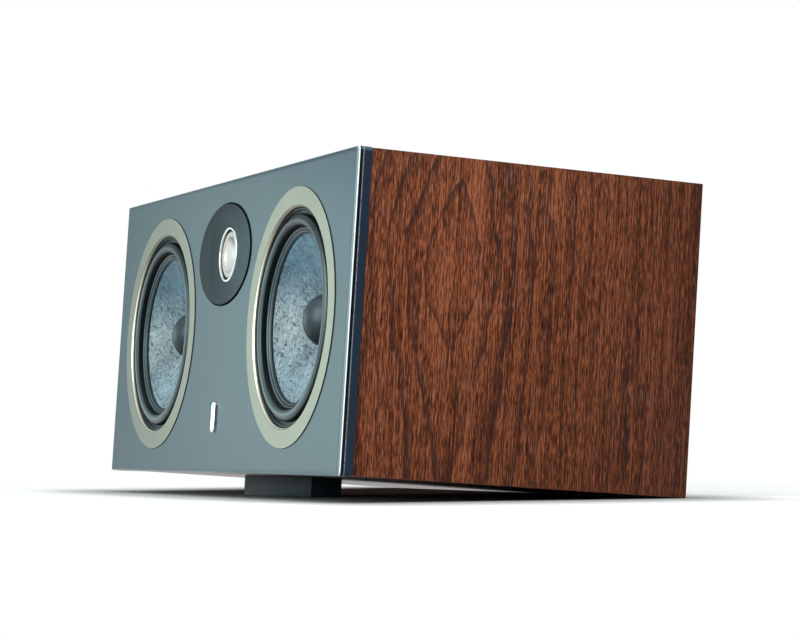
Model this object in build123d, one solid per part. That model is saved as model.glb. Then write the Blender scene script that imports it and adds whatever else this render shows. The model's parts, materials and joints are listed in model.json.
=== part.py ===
from build123d import *
import math
import os

# Cabinet frame: baffle face at y = 0, baffle underside at z = 0, depth along +Y, all in millimetres
cabinet_width = 525.0
cabinet_height = 210.0
cabinet_depth = 245.0
panel_thickness = 15.0
rear_panel_thickness = 15.0
rear_panel_inset = 2.0
baffle_flange = 10.0
baffle_tongue = 12.0
baffle_proud = 0.7
baffle_chamfer = 2.8
baffle_corner_radius = 3.4
brace_thickness = 12.0
brace_spacing = 136.0
brace_margin = 26.0
brace_window_radius = 16.0
damping_thickness = 28.0
damping_margin = 14.0

# Front foot: a bar with its sole cut to lie flat when the cabinet leans back on its rear edge
foot_width = 148.0
foot_depth = 22.5
foot_setback = 50.0
foot_height = 14.3

# Clearances
fit_gap = 0.3
glue_gap = 0.2
rebate_clearance = 0.5
screw_clearance = 0.15

# Woofer radii, from the cone outwards; each woofer stands midway between the middle strip and the side
middle_strip = 75.0
cone_edge_radius = 56.6
surround_lip = 4.6
roll_width = 8.6
surround_flange = 3.6
collar_wall = 2.3
flange_width = 6.5
trim_cover = 5.0
trim_bevel = 1.4
trim_edge_chamfer = 0.25

# Woofer depths behind the baffle face
trim_proud = 0.6
trim_seat = 2.0
flange_thickness = 3.0
gasket_thickness = 1.0
surround_drop = 3.2
surround_wall = 0.9
roll_rise = 4.6
lip_drop = 2.9
cone_depth = 20.0
cone_wall = 1.3
dust_cap_radius = 18.5
dust_cap_rise = 17.0
dust_cap_wall = 0.8
basket_depth = 44.0
basket_wall = 2.2
basket_windows = 6
basket_window_width = 30.0
spider_radius = 46.4
spider_seat_width = 6.0
spider_standoff = 1.9
spider_wall = 0.7
spider_waves = 3
spider_wave_height = 1.6

# Woofer motor
coil_inner_radius = 15.9
former_wall = 0.5
winding_wall = 0.7
winding_length = 10.0
former_tail = 2.0
coil_gap = 0.6
top_plate_radius = 46.0
top_plate_thickness = 6.0
magnet_radius = 50.0
magnet_bore_radius = 25.0
magnet_thickness = 16.0
back_plate_radius = 48.0
back_plate_thickness = 5.0
pole_rise = 2.0
pole_vent_radius = 5.0

# Woofer screws, countersunk into the basket flange under the trim ring
woofer_screws = 6
screw_head_radius = 2.8
screw_head_depth = 1.5
screw_shank_radius = 1.5
screw_length = 14.0
screw_sink = 0.1

# Tweeter
tweeter_drop = 53.6
plate_half_width = 59.0
plate_half_height = 36.6
plate_thickness = 4.0
plate_proud = 1.0
plate_chamfer = 0.7
plate_gap = 0.5
dish_radius = 33.0
dish_depth = 3.0
boss_radius = 33.4
bezel_radius = 20.0
bezel_wall = 2.1
bezel_ledge = 2.4
bezel_depth = 1.6
suspension_seat = 2.6
suspension_wall = 0.8
suspension_rise = 0.7
dome_radius = 12.5
dome_depth = 4.2
dome_wall = 0.5
tweeter_coil_radius = 9.5
tweeter_coil_wall = 0.6
tweeter_coil_length = 6.4
tweeter_gap = 0.6
tweeter_plate_depth = 8.5
tweeter_plate_radius = 32.5
tweeter_plate_thickness = 3.5
tweeter_magnet_radius = 31.0
tweeter_magnet_bore_radius = 14.0
tweeter_magnet_thickness = 8.0
tweeter_back_radius = 30.0
tweeter_back_thickness = 4.0
tweeter_pole_vent_radius = 2.5
chamber_radius = 28.0
chamber_length = 22.0
chamber_wall = 2.0

# Plain badge under the tweeter
badge_rise = 39.6
badge_height = 22.0
badge_width = 7.5
badge_thickness = 1.8
badge_round = 0.8

# Reflex port, on the rear
port_radius = 25.0
port_wall = 2.5
port_length = 120.0
port_flare = 10.0
port_flange_radius = 42.0
port_flange_thickness = 2.5
port_collar_length = 12.0

# Terminal cup and binding posts, on the rear
cup_width = 78.0
cup_height = 48.0
cup_depth = 26.0
cup_wall = 2.5
cup_flange = 8.0
cup_corner_radius = 5.0
post_spacing = 38.0
post_radius = 3.5
post_collar_radius = 7.0
post_collar_thickness = 3.5
post_recess = 1.0
post_tail = 12.0
socket_radius = 2.05
socket_depth = 17.5
wire_hole_radius = 1.3
wire_hole_gap = 1.3
nut_across_flats = 11.0
nut_thickness = 4.5
cap_radius = 8.5
cap_seat_gap = 0.5
cap_flutes = 10
cap_flute_radius = 1.2
cup_screw_inset = 5.0

# Crossover board, on the rear panel behind the left woofer
board_width = 112.0
board_height = 92.0
board_thickness = 1.6
spacer_radius = 3.5
spacer_length = 8.0
spacer_inset = 6.0
large_coil_radius = 18.0
large_coil_bore = 8.0
large_coil_length = 15.0
small_coil_radius = 14.0
small_coil_bore = 6.0
small_coil_length = 12.0
capacitor_radius = 8.0
capacitor_length = 34.0
resistor_length = 22.0
resistor_side = 9.0
resistor_gap = 7.0

# Worked out from the driving sizes
baffle_thickness = baffle_flange + baffle_tongue
carcass_width = cabinet_width - 2 * baffle_proud
carcass_height = cabinet_height - 2 * baffle_proud
inner_width = carcass_width - 2 * panel_thickness
inner_height = carcass_height - 2 * panel_thickness
middle_rise = cabinet_height / 2
inner_floor = baffle_proud + panel_thickness
rear_face = cabinet_depth - rear_panel_inset
rear_inner_face = rear_face - rear_panel_thickness
tweeter_rise = cabinet_height - tweeter_drop
woofer_spacing = (cabinet_width + middle_strip) / 2
lean = math.degrees(math.atan(foot_height / (cabinet_depth - foot_setback)))

roll_inner_radius = cone_edge_radius + surround_lip
roll_outer_radius = roll_inner_radius + roll_width
surround_radius = roll_outer_radius + surround_flange
seat_radius = surround_radius + fit_gap
collar_radius = seat_radius + collar_wall
flange_radius = collar_radius + flange_width
rebate_radius = flange_radius + rebate_clearance
trim_radius = rebate_radius + trim_cover
trim_inner_radius = seat_radius + fit_gap
baffle_hole_radius = collar_radius + 2 * rebate_clearance
screw_circle_radius = (collar_radius + flange_radius) / 2 + fit_gap

flange_back = trim_seat + flange_thickness
rebate_depth = flange_back + gasket_thickness
surround_seat = trim_seat + surround_drop
flange_front = surround_seat - surround_wall
crest_depth = flange_front - roll_rise
lip_depth = flange_front + lip_drop
rim_depth = lip_depth + surround_wall + glue_gap
neck_depth = rim_depth + cone_depth
former_radius = coil_inner_radius + former_wall
winding_radius = former_radius + winding_wall
neck_radius = former_radius + glue_gap
cone_slope = cone_depth / (cone_edge_radius - neck_radius)
spider_seat = neck_depth + cone_wall + spider_standoff
top_plate_front = trim_seat + basket_depth
top_plate_back = top_plate_front + top_plate_thickness
magnet_back = top_plate_back + magnet_thickness
yoke_back = magnet_back + back_plate_thickness
gap_middle = top_plate_front + top_plate_thickness / 2

dish_inner_radius = bezel_radius + fit_gap
boss_hole_radius = boss_radius + rebate_clearance
plate_back = plate_thickness - plate_proud
suspension_depth = bezel_depth + suspension_seat
suspension_radius = bezel_radius - bezel_wall - glue_gap
dome_rim_depth = suspension_depth - suspension_wall
dome_sphere = (dome_radius**2 + dome_depth**2) / (2 * dome_depth)
tweeter_coil_outer = tweeter_coil_radius + tweeter_coil_wall
dome_back_at_coil = (
    dome_rim_depth
    + dome_depth
    + dome_wall
    - (dome_sphere - math.sqrt(dome_sphere**2 - tweeter_coil_radius**2))
)
tweeter_coil_front = dome_back_at_coil + glue_gap
tweeter_plate_back = tweeter_plate_depth + tweeter_plate_thickness
tweeter_magnet_back = tweeter_plate_back + tweeter_magnet_thickness
tweeter_yoke_back = tweeter_magnet_back + tweeter_back_thickness
dome_back_at_centre = dome_rim_depth + dome_depth + dome_wall

rear_gap = (inner_height - 2 * port_flange_radius - cup_height - 2 * cup_flange) / 3
cup_rise = inner_floor + rear_gap + cup_flange + cup_height / 2
port_rise = inner_floor + inner_height - rear_gap - port_flange_radius
port_collar_radius = port_radius + port_flare + port_wall
cup_floor = cup_depth
cup_back = cup_depth + cup_wall
cap_length = cup_floor - post_collar_thickness - cap_seat_gap
board_offset = (inner_width / 2 - damping_thickness + (brace_spacing + brace_thickness) / 2) / 2

reach = 2.0 * cabinet_depth


def turned(*points, rounds=0):
    """Turn a closed outline of (radius, depth) points about the axis; depth runs back from the face."""
    outline = FilletPolyline(*[(r, -d) for r, d in points], radius=rounds, close=True)
    return revolve(Plane.XZ * make_face(outline), Axis.Z)


def ring(inner, outer, front, back):
    """Plain ring between two radii and two depths."""
    return turned((inner, front), (outer, front), (outer, back), (inner, back))


def disc(radius, front, back):
    """Plain round plate, also used as a round cutter."""
    return turned((0, front), (radius, front), (radius, back), (0, back))


def around(count, radius, shape, start=0.0):
    """Copies of a shape at equal steps round the axis."""
    return [place * shape for place in PolarLocations(radius, count, start)]


def on_baffle(shape, x, z):
    """Set a driver piece into the baffle, its axis pointing forwards."""
    return Location((x, 0, z), (90, 0, 0)) * shape


def on_rear(shape, x, z):
    """Set a piece into the rear panel, its axis pointing backwards."""
    return Location((x, rear_face, z), (-90, 0, 0)) * shape


def slab(width, depth, height, x, y, z):
    """Box from its centre in x, its front face in y and its underside in z."""
    return Pos(x, y + depth / 2, z + height / 2) * Box(width, depth, height)


# Cabinet


def side_panels():
    """Four boards, mitred at the corners, from the baffle flange to the rear edge."""
    half_width = carcass_width / 2
    half_height = carcass_height / 2
    in_width = inner_width / 2
    in_height = inner_height / 2
    level = [(-half_width, half_height), (half_width, half_height)]
    level += [(in_width, in_height), (-in_width, in_height)]
    upright = [(half_width, half_height), (half_width, -half_height)]
    upright += [(in_width, -in_height), (in_width, in_height)]
    outlines = {
        "top_panel": level,
        "bottom_panel": [(x, -z) for x, z in level],
        "left_side_panel": [(-x, z) for x, z in upright],
        "right_side_panel": upright,
    }
    length = cabinet_depth - baffle_flange
    plane = Plane((0, baffle_flange, middle_rise), x_dir=(1, 0, 0), z_dir=(0, -1, 0))
    return {
        name: extrude(plane * make_face(Polyline(*points, close=True)), amount=-length)
        for name, points in outlines.items()
    }


def woofer_cutout():
    """Stepped hole for a woofer: rebate for the flange, then the clear hole for the basket."""
    return turned(
        (0, -reach),
        (rebate_radius, -reach),
        (rebate_radius, rebate_depth),
        (baffle_hole_radius, rebate_depth),
        (baffle_hole_radius, reach),
        (0, reach),
    )


def tweeter_cutout():
    """Elliptical recess for the tweeter plate and the round hole for its boss."""
    recess = Ellipse(plate_half_width + plate_gap, plate_half_height + plate_gap)
    pocket = Pos(0, 0, -plate_back) * extrude(recess, amount=reach)
    return pocket + disc(boss_hole_radius, -reach, reach)


def front_baffle():
    """Baffle with a chamfered flange and a tongue that plugs into the carcass."""
    flange = slab(cabinet_width, baffle_flange, cabinet_height, 0, 0, 0)
    flange = fillet(flange.edges().filter_by(Axis.Y), baffle_corner_radius)
    flange = chamfer(flange.faces().sort_by(Axis.Y)[0].edges(), baffle_chamfer)
    board = flange + slab(inner_width, baffle_tongue, inner_height, 0, baffle_flange, inner_floor)
    for x in (-woofer_spacing / 2, woofer_spacing / 2):
        board -= on_baffle(woofer_cutout(), x, middle_rise)
        pilot = disc(screw_shank_radius + screw_clearance, 0, trim_seat + screw_length + fit_gap)
        for hole in around(woofer_screws, screw_circle_radius, pilot):
            board -= on_baffle(hole, x, middle_rise)
    return board - on_baffle(tweeter_cutout(), 0, tweeter_rise)


def rear_panel():
    """Rear board with the port hole, the terminal opening and its screw holes."""
    board = slab(inner_width, rear_panel_thickness, inner_height, 0, rear_inner_face, inner_floor)
    board -= on_rear(disc(port_collar_radius + fit_gap, -reach, reach), 0, port_rise)
    opening = RectangleRounded(
        cup_width + 2 * fit_gap, cup_height + 2 * fit_gap, cup_corner_radius + fit_gap
    )
    board -= on_rear(extrude(opening, amount=reach, both=True), 0, cup_rise)
    pilot = disc(screw_shank_radius + screw_clearance, -reach, screw_length)
    for place in cup_screw_places():
        board -= on_rear(place * pilot, 0, cup_rise)
    return board


def brace(side):
    """Window brace between the baffle tongue and the rear panel."""
    length = rear_inner_face - baffle_thickness
    x = side * brace_spacing / 2
    board = slab(brace_thickness, length, inner_height, x, baffle_thickness, inner_floor)
    window = RectangleRounded(
        length - 2 * brace_margin, inner_height - 2 * brace_margin, brace_window_radius
    )
    centre = (x, baffle_thickness + length / 2, middle_rise)
    plane = Plane(centre, x_dir=(0, 1, 0), z_dir=(1, 0, 0))
    return board - extrude(plane * window, amount=brace_thickness, both=True)


def damping_pad(side):
    """Wadding pad glued to the inside of a side panel."""
    length = rear_inner_face - baffle_thickness - 2 * damping_margin
    x = side * (inner_width - damping_thickness) / 2
    height = inner_height - 2 * damping_margin
    y = baffle_thickness + damping_margin
    return slab(damping_thickness, length, height, x, y, inner_floor + damping_margin)


def front_foot():
    """Foot bar under the front, its sole parallel to the floor."""
    heel = cabinet_depth - foot_setback
    heel_height = foot_height * (heel - foot_depth) / heel
    points = [(0, 0), (0, -foot_height), (foot_depth, -heel_height), (foot_depth, 0)]
    plane = Plane((0, foot_setback, baffle_proud), x_dir=(0, 1, 0), z_dir=(1, 0, 0))
    return extrude(plane * make_face(Polyline(*points, close=True)), foot_width / 2, both=True)


def badge():
    """Plain polished pill on the baffle, below the tweeter."""
    pill = extrude(SlotOverall(badge_height, badge_width, rotation=90), badge_thickness)
    pill = fillet(pill.faces().sort_by(Axis.Z)[-1].edges(), badge_round)
    return on_baffle(pill, 0, badge_rise)


# Woofer


def countersunk_screw(grow=0.0):
    """Flat-head screw standing in the axis, head at the trim seat; grown, it cuts its own hole."""
    head = trim_seat + screw_sink - grow
    waist = head + screw_head_depth
    return turned(
        (0, head),
        (screw_head_radius + grow, head),
        (screw_shank_radius + grow, waist),
        (screw_shank_radius + grow, trim_seat + screw_length + grow),
        (0, trim_seat + screw_length + grow),
    )


def trim_ring():
    """Cover ring over the basket flange, bevelled towards the surround."""
    return turned(
        (trim_inner_radius, trim_seat),
        (trim_inner_radius, trim_bevel - trim_proud),
        (trim_inner_radius + trim_bevel, -trim_proud),
        (trim_radius - trim_edge_chamfer, -trim_proud),
        (trim_radius, trim_edge_chamfer - trim_proud),
        (trim_radius, 0),
        (flange_radius, 0),
        (flange_radius, trim_seat),
    )


def basket():
    """Cast frame: screw flange, surround seat, windowed cone, spider shelf and motor ring."""
    ledge_back = surround_seat + basket_wall
    ledge_radius = roll_outer_radius - surround_wall + fit_gap
    neck_inner = spider_radius + fit_gap
    neck_outer = neck_inner + basket_wall
    shelf_radius = spider_radius - spider_seat_width
    shelf_back = spider_seat + basket_wall
    ring_front = top_plate_front - basket_wall
    slope = (spider_seat - basket_wall - ledge_back) / (ledge_radius - neck_inner)
    skirt_radius = ledge_radius + basket_wall * 1.5
    skirt_depth = ledge_back + slope * (skirt_radius - neck_outer)
    frame = turned(
        (flange_radius, trim_seat),
        (flange_radius, flange_back),
        (collar_radius, flange_back),
        (collar_radius, ledge_back),
        (skirt_radius, ledge_back),
        (neck_outer, skirt_depth),
        (neck_outer, top_plate_front),
        (shelf_radius, top_plate_front),
        (shelf_radius, ring_front),
        (neck_inner, ring_front),
        (neck_inner, shelf_back),
        (shelf_radius, shelf_back),
        (shelf_radius, spider_seat),
        (neck_inner, spider_seat),
        (neck_inner, spider_seat - basket_wall),
        (ledge_radius, ledge_back),
        (ledge_radius, surround_seat),
        (seat_radius, surround_seat),
        (seat_radius, trim_seat),
    )
    window_front = ledge_back + basket_wall
    window_back = spider_seat - 2 * basket_wall
    window_length = collar_radius - neck_inner
    window = Pos(neck_inner + window_length / 2, 0, -(window_front + window_back) / 2) * Box(
        window_length, basket_window_width, window_back - window_front
    )
    frame -= around(basket_windows, 0, window, 180 / basket_windows)
    return frame - around(woofer_screws, screw_circle_radius, countersunk_screw(screw_clearance))


def gasket():
    """Foam ring between the basket flange and the baffle rebate."""
    washer = ring(baffle_hole_radius, flange_radius, flange_back, rebate_depth)
    hole = disc(screw_shank_radius + screw_clearance, 0, reach)
    return washer - around(woofer_screws, screw_circle_radius, hole)


def surround():
    """Rubber half roll with a flat flange outside and a lip that lies on the sloping edge of the cone."""
    front_round = min(roll_width / 2, roll_rise) - fit_gap / 2
    back_round = front_round - surround_wall
    lip_top = lip_depth - cone_slope * surround_lip
    lip_back = lip_top + surround_wall * (1 - cone_slope)
    points = (
        (surround_radius, flange_front),
        (roll_outer_radius, flange_front),
        (roll_outer_radius, crest_depth),
        (roll_inner_radius, crest_depth),
        (roll_inner_radius, lip_top),
        (cone_edge_radius, lip_depth),
        (cone_edge_radius, lip_depth + surround_wall),
        (roll_inner_radius + surround_wall, lip_back),
        (roll_inner_radius + surround_wall, crest_depth + surround_wall),
        (roll_outer_radius - surround_wall, crest_depth + surround_wall),
        (roll_outer_radius - surround_wall, surround_seat),
        (surround_radius, surround_seat),
    )
    rounds = [0, 0, front_round, front_round, 0, 0, 0, 0, back_round, back_round, 0, 0]
    return turned(*points, rounds=rounds)


def cone():
    """Straight-sided diaphragm; the surround lip lies on its outer edge."""
    rim_radius = roll_inner_radius + fit_gap
    rim_front = rim_depth - cone_slope * (rim_radius - cone_edge_radius)
    return turned(
        (rim_radius, rim_front),
        (neck_radius, neck_depth),
        (neck_radius, neck_depth + cone_wall),
        (rim_radius, rim_front + cone_wall),
    )


def dust_cap():
    """Domed cap over the voice coil, seated on the cone."""
    base = rim_depth + cone_slope * (cone_edge_radius - dust_cap_radius) - glue_gap
    sphere = (dust_cap_radius**2 + dust_cap_rise**2) / (2 * dust_cap_rise)
    centre = Pos(0, 0, dust_cap_rise - sphere - base)
    dome = centre * Sphere(sphere) - centre * Sphere(sphere - dust_cap_wall)
    return split(dome, Plane((0, 0, -base)), keep=Keep.TOP)


def voice_coil():
    """Former glued into the cone neck, with the winding in the magnet gap."""
    front = neck_depth - cone_wall
    winding_front = gap_middle - winding_length / 2
    winding_back = gap_middle + winding_length / 2
    return turned(
        (coil_inner_radius, front),
        (former_radius, front),
        (former_radius, winding_front),
        (winding_radius, winding_front),
        (winding_radius, winding_back),
        (former_radius, winding_back),
        (former_radius, winding_back + former_tail),
        (coil_inner_radius, winding_back + former_tail),
    )


def spider():
    """Corrugated centring disc between the former and its shelf in the basket."""
    inner = neck_radius
    shelf = spider_radius - spider_seat_width - fit_gap
    pitch = (shelf - inner) / (2 * spider_waves + 1)
    front = [(spider_radius, 0), (shelf, 0)]
    for step in range(1, 2 * spider_waves + 1):
        front.append((shelf - step * pitch, -spider_wave_height * (step % 2)))
    front.append((inner, 0))
    top = spider_seat - spider_wall
    outline = [(r, top + d) for r, d in front]
    outline += [(r, spider_seat + d) for r, d in reversed(front)]
    return turned(*outline)


def yoke():
    """Back plate and vented pole in one."""
    pole_radius = coil_inner_radius - coil_gap
    return turned(
        (pole_vent_radius, top_plate_front - pole_rise),
        (pole_radius, top_plate_front - pole_rise),
        (pole_radius, magnet_back),
        (back_plate_radius, magnet_back),
        (back_plate_radius, yoke_back),
        (pole_vent_radius, yoke_back),
    )


def woofer():
    """Every piece of one woofer, on its own axis."""
    screws = around(woofer_screws, screw_circle_radius, countersunk_screw())
    gap_radius = winding_radius + coil_gap
    return {
        "trim_ring": trim_ring(),
        "basket": basket(),
        "gasket": gasket(),
        "surround": surround(),
        "cone": cone(),
        "dust_cap": dust_cap(),
        "voice_coil": voice_coil(),
        "spider": spider(),
        "top_plate": ring(gap_radius, top_plate_radius, top_plate_front, top_plate_back),
        "magnet": ring(magnet_bore_radius, magnet_radius, top_plate_back, magnet_back),
        "yoke": yoke(),
        "screws": Compound([screw.solid() for screw in screws]),
    }


# Tweeter


def tweeter_faceplate():
    """Elliptical plate with a shallow conical dish and a boss behind it."""
    plate = extrude(Ellipse(plate_half_width, plate_half_height), amount=plate_thickness)
    plate = Pos(0, 0, -plate_back) * plate
    plate = chamfer(plate.faces().sort_by(Axis.Z)[-1].edges(), plate_chamfer)
    plate += disc(boss_radius, plate_back, tweeter_plate_depth)
    dish = turned(
        (0, -plate_proud),
        (dish_radius, -plate_proud),
        (dish_inner_radius, dish_depth - plate_proud),
        (dish_inner_radius, tweeter_plate_depth),
        (0, tweeter_plate_depth),
    )
    return plate - dish


def tweeter_bezel():
    """Metal ring round the dome, with the ledge that carries the suspension."""
    lip_radius = bezel_radius - bezel_wall
    return turned(
        (lip_radius, bezel_depth),
        (bezel_radius, bezel_depth),
        (bezel_radius, tweeter_plate_depth),
        (lip_radius - bezel_ledge, tweeter_plate_depth),
        (lip_radius - bezel_ledge, suspension_depth),
        (lip_radius, suspension_depth),
    )


def tweeter_suspension():
    """Soft ring between the bezel ledge and the dome."""
    front = dome_rim_depth
    inner = dome_radius + glue_gap
    ledge = suspension_radius - bezel_ledge
    third = (ledge - inner) / 3
    crest = [(ledge, 0), (ledge - third, -suspension_rise), (inner + third, -suspension_rise)]
    line = [(suspension_radius, 0), *crest, (inner, 0)]
    outline = [(r, front + d) for r, d in line]
    outline += [(r, front + suspension_wall + d) for r, d in reversed(line)]
    return turned(*outline)


def tweeter_dome():
    """Inverted dome: a shallow bowl, open to the front."""
    centre = Pos(0, 0, dome_sphere - dome_rim_depth - dome_depth)
    bowl = centre * Sphere(dome_sphere + dome_wall) - centre * Sphere(dome_sphere)
    bowl &= disc(dome_radius, dome_rim_depth, reach)
    return bowl


def tweeter_yoke():
    """Back plate and vented pole of the tweeter motor."""
    pole_radius = tweeter_coil_radius - tweeter_gap
    pole_front = dome_back_at_centre + 2 * tweeter_gap
    return turned(
        (tweeter_pole_vent_radius, pole_front),
        (pole_radius, pole_front),
        (pole_radius, tweeter_magnet_back),
        (tweeter_back_radius, tweeter_magnet_back),
        (tweeter_back_radius, tweeter_yoke_back),
        (tweeter_pole_vent_radius, tweeter_yoke_back),
    )


def tweeter_chamber():
    """Closed cup behind the motor that loads the back of the dome."""
    end = tweeter_yoke_back + chamber_length
    inner = chamber_radius - chamber_wall
    return turned(
        (inner, tweeter_yoke_back),
        (chamber_radius, tweeter_yoke_back),
        (chamber_radius, end),
        (0, end),
        (0, end - chamber_wall),
        (inner, end - chamber_wall),
    )


def tweeter():
    """Every piece of the tweeter, on its own axis."""
    coil_back = tweeter_coil_front + tweeter_coil_length
    gap_radius = tweeter_coil_outer + tweeter_gap
    return {
        "faceplate": tweeter_faceplate(),
        "bezel": tweeter_bezel(),
        "suspension": tweeter_suspension(),
        "dome": tweeter_dome(),
        "voice_coil": ring(tweeter_coil_radius, tweeter_coil_outer, tweeter_coil_front, coil_back),
        "top_plate": ring(gap_radius, tweeter_plate_radius, tweeter_plate_depth, tweeter_plate_back),
        "magnet": ring(
            tweeter_magnet_bore_radius, tweeter_magnet_radius, tweeter_plate_back, tweeter_magnet_back
        ),
        "yoke": tweeter_yoke(),
        "rear_chamber": tweeter_chamber(),
    }


# Rear: port, terminals and crossover


def port_tube():
    """Flared reflex port with a flange on the rear panel and a collar in its hole."""
    mouth = -port_flange_thickness
    outer = port_radius + port_wall
    points = (
        (port_radius, port_length),
        (port_radius, mouth),
        (port_flange_radius, mouth),
        (port_flange_radius, 0),
        (port_collar_radius, 0),
        (port_collar_radius, port_collar_length),
        (outer, port_collar_length + port_flare),
        (outer, port_length),
    )
    return on_rear(turned(*points, rounds=[0, port_flare, 0, 0, 0, 0, 0, 0]), 0, port_rise)


def cup_screw_places():
    """Places of the four screws in the corners of the terminal flange."""
    half_width = cup_width / 2 + cup_flange - cup_screw_inset
    half_height = cup_height / 2 + cup_flange - cup_screw_inset
    return [Pos(x, z, 0) for x in (-half_width, half_width) for z in (-half_height, half_height)]


def cup_screw(grow=0.0):
    """Flat-head screw, flush with the terminal flange; grown, it cuts its own hole."""
    head = Pos(0, 0, cup_wall + trim_seat)
    return head * countersunk_screw(grow)


def terminal_cup():
    """Moulded recess for the binding posts, open to the rear, with a screwed flange."""
    flange = RectangleRounded(
        cup_width + 2 * cup_flange, cup_height + 2 * cup_flange, cup_corner_radius + cup_flange / 2
    )
    body = RectangleRounded(cup_width, cup_height, cup_corner_radius)
    hollow = RectangleRounded(
        cup_width - 2 * cup_wall, cup_height - 2 * cup_wall, cup_corner_radius - cup_wall
    )
    cup = extrude(flange, amount=cup_wall) + extrude(body, amount=-cup_back)
    cup -= Pos(0, 0, -cup_floor) * extrude(hollow, amount=reach)
    hole = disc(post_radius + fit_gap, 0, reach)
    for x in (-post_spacing / 2, post_spacing / 2):
        cup -= Pos(x, 0, 0) * hole
    for place in cup_screw_places():
        cup -= place * cup_screw(screw_clearance)
    return on_rear(cup, 0, cup_rise)


def binding_post(x):
    """Metal stud with a collar on the cup floor, a plug socket and a cross hole for bare wire."""
    end = post_recess
    collar_front = cup_floor - post_collar_thickness
    stud = turned(
        (0, end),
        (post_radius, end),
        (post_radius, collar_front),
        (post_collar_radius, collar_front),
        (post_collar_radius, cup_floor),
        (post_radius, cup_floor),
        (post_radius, cup_back + post_tail),
        (0, cup_back + post_tail),
    )
    stud -= disc(socket_radius, 0, end + socket_depth)
    wire_hole = Rot(0, 90, 0) * Cylinder(wire_hole_radius, 4 * post_radius)
    stud -= Pos(0, 0, wire_hole_gap - collar_front + wire_hole_radius) * wire_hole
    return on_rear(stud, x, cup_rise)


def binding_cap(x):
    """Fluted cap that screws down the post onto the wire."""
    cap = ring(post_radius + fit_gap, cap_radius, 0, cap_length)
    flute = Cylinder(cap_flute_radius, 4 * cap_length)
    cap -= around(cap_flutes, cap_radius + cap_flute_radius / 2, flute)
    return on_rear(cap, x, cup_rise)


def post_nut(x):
    """Hexagon nut that draws the post against the cup from inside."""
    nut = extrude(RegularPolygon(nut_across_flats / 2, 6, major_radius=False), amount=-nut_thickness)
    nut -= disc(post_radius + fit_gap, -reach, reach)
    return on_rear(Pos(0, 0, -cup_back) * nut, x, cup_rise)


def board_row(*lengths):
    """Middles of pieces that lie in a row across the board with equal gaps."""
    gap = (board_width - sum(lengths)) / (len(lengths) + 1)
    starts = [-board_width / 2 + gap * (i + 1) + sum(lengths[:i]) for i in range(len(lengths))]
    return [start + size / 2 for start, size in zip(starts, lengths)]


def crossover():
    """Filter board on spacers: coils and a capacitor above, capacitors and resistors below."""
    board_front = rear_inner_face - spacer_length - board_thickness
    to_board = Location((-board_offset, board_front, middle_rise), (90, 0, 0))
    board = Pos(0, 0, -board_thickness / 2) * Box(board_width, board_height, board_thickness)
    half_width = board_width / 2 - spacer_inset
    half_height = board_height / 2 - spacer_inset
    corners = [(x, z) for x in (-half_width, half_width) for z in (-half_height, half_height)]
    spacer = disc(spacer_radius, board_thickness, board_thickness + spacer_length)
    row_rise = board_height / 4
    large_x, upper_x, small_x = board_row(2 * large_coil_radius, capacitor_length, 2 * small_coil_radius)
    left_x, middle_x, block_x = board_row(capacitor_length, capacitor_length, resistor_length)
    coils = [
        Pos(large_x, row_rise, 0) * ring(large_coil_bore, large_coil_radius, -large_coil_length, 0),
        Pos(small_x, row_rise, 0) * ring(small_coil_bore, small_coil_radius, -small_coil_length, 0),
    ]
    can = Pos(0, 0, capacitor_radius) * Rot(0, 90, 0) * Cylinder(capacitor_radius, capacitor_length)
    cans = [Pos(x, z, 0) * can for x, z in ((upper_x, row_rise), (left_x, -row_rise), (middle_x, -row_rise))]
    block = Pos(block_x, -row_rise, resistor_side / 2) * Box(resistor_length, resistor_side, resistor_side)
    block_step = (resistor_side + resistor_gap) / 2
    blocks = [Pos(0, z, 0) * block for z in (block_step, -block_step)]
    groups = {
        "crossover_board": [board],
        "crossover_spacers": [Pos(x, z, 0) * spacer for x, z in corners],
        "crossover_coils": coils,
        "crossover_capacitors": cans,
        "crossover_resistors": blocks,
    }
    return {
        name: Compound([(to_board * piece).solid() for piece in pieces])
        for name, pieces in groups.items()
    }


def build_nodes():
    """Every piece in the cabinet frame, by node name."""
    nodes = side_panels()
    nodes["front_baffle"] = front_baffle()
    nodes["rear_panel"] = rear_panel()
    for name, side in (("left", -1), ("right", 1)):
        nodes[f"{name}_brace"] = brace(side)
        nodes[f"{name}_damping_pad"] = damping_pad(side)
    nodes["front_foot"] = front_foot()
    nodes["badge"] = badge()
    for piece, shape in woofer().items():
        nodes[f"left_{piece}"] = on_baffle(shape, -woofer_spacing / 2, middle_rise)
        nodes[f"right_{piece}"] = on_baffle(shape, woofer_spacing / 2, middle_rise)
    for piece, shape in tweeter().items():
        nodes[f"tweeter_{piece}"] = on_baffle(shape, 0, tweeter_rise)
    nodes["port_tube"] = port_tube()
    nodes["terminal_cup"] = terminal_cup()
    screws = [on_rear(place * cup_screw(), 0, cup_rise) for place in cup_screw_places()]
    nodes["terminal_screws"] = Compound([screw.solid() for screw in screws])
    nuts = []
    for name, x in (("red", post_spacing / 2), ("black", -post_spacing / 2)):
        nodes[f"{name}_post"] = binding_post(x)
        nodes[f"{name}_cap"] = binding_cap(x)
        nuts.append(post_nut(x))
    nodes["post_nuts"] = Compound([nut.solid() for nut in nuts])
    nodes.update(crossover())
    return nodes


def stand_on_floor(nodes):
    """Lean the cabinet back onto its foot and rear edge, with the origin under the middle of its box."""
    to_edge = Location((0, 0, 0), (-lean, 0, 0)) * Location((0, -cabinet_depth, -baffle_proud))
    leaning = {name: to_edge * shape for name, shape in nodes.items()}
    boxes = [shape.bounding_box() for shape in leaning.values()]
    front = min(box.min.Y for box in boxes)
    back = max(box.max.Y for box in boxes)
    centred = Pos(0, -(front + back) / 2, 0)
    return {name: centred * shape for name, shape in leaning.items()}


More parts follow.
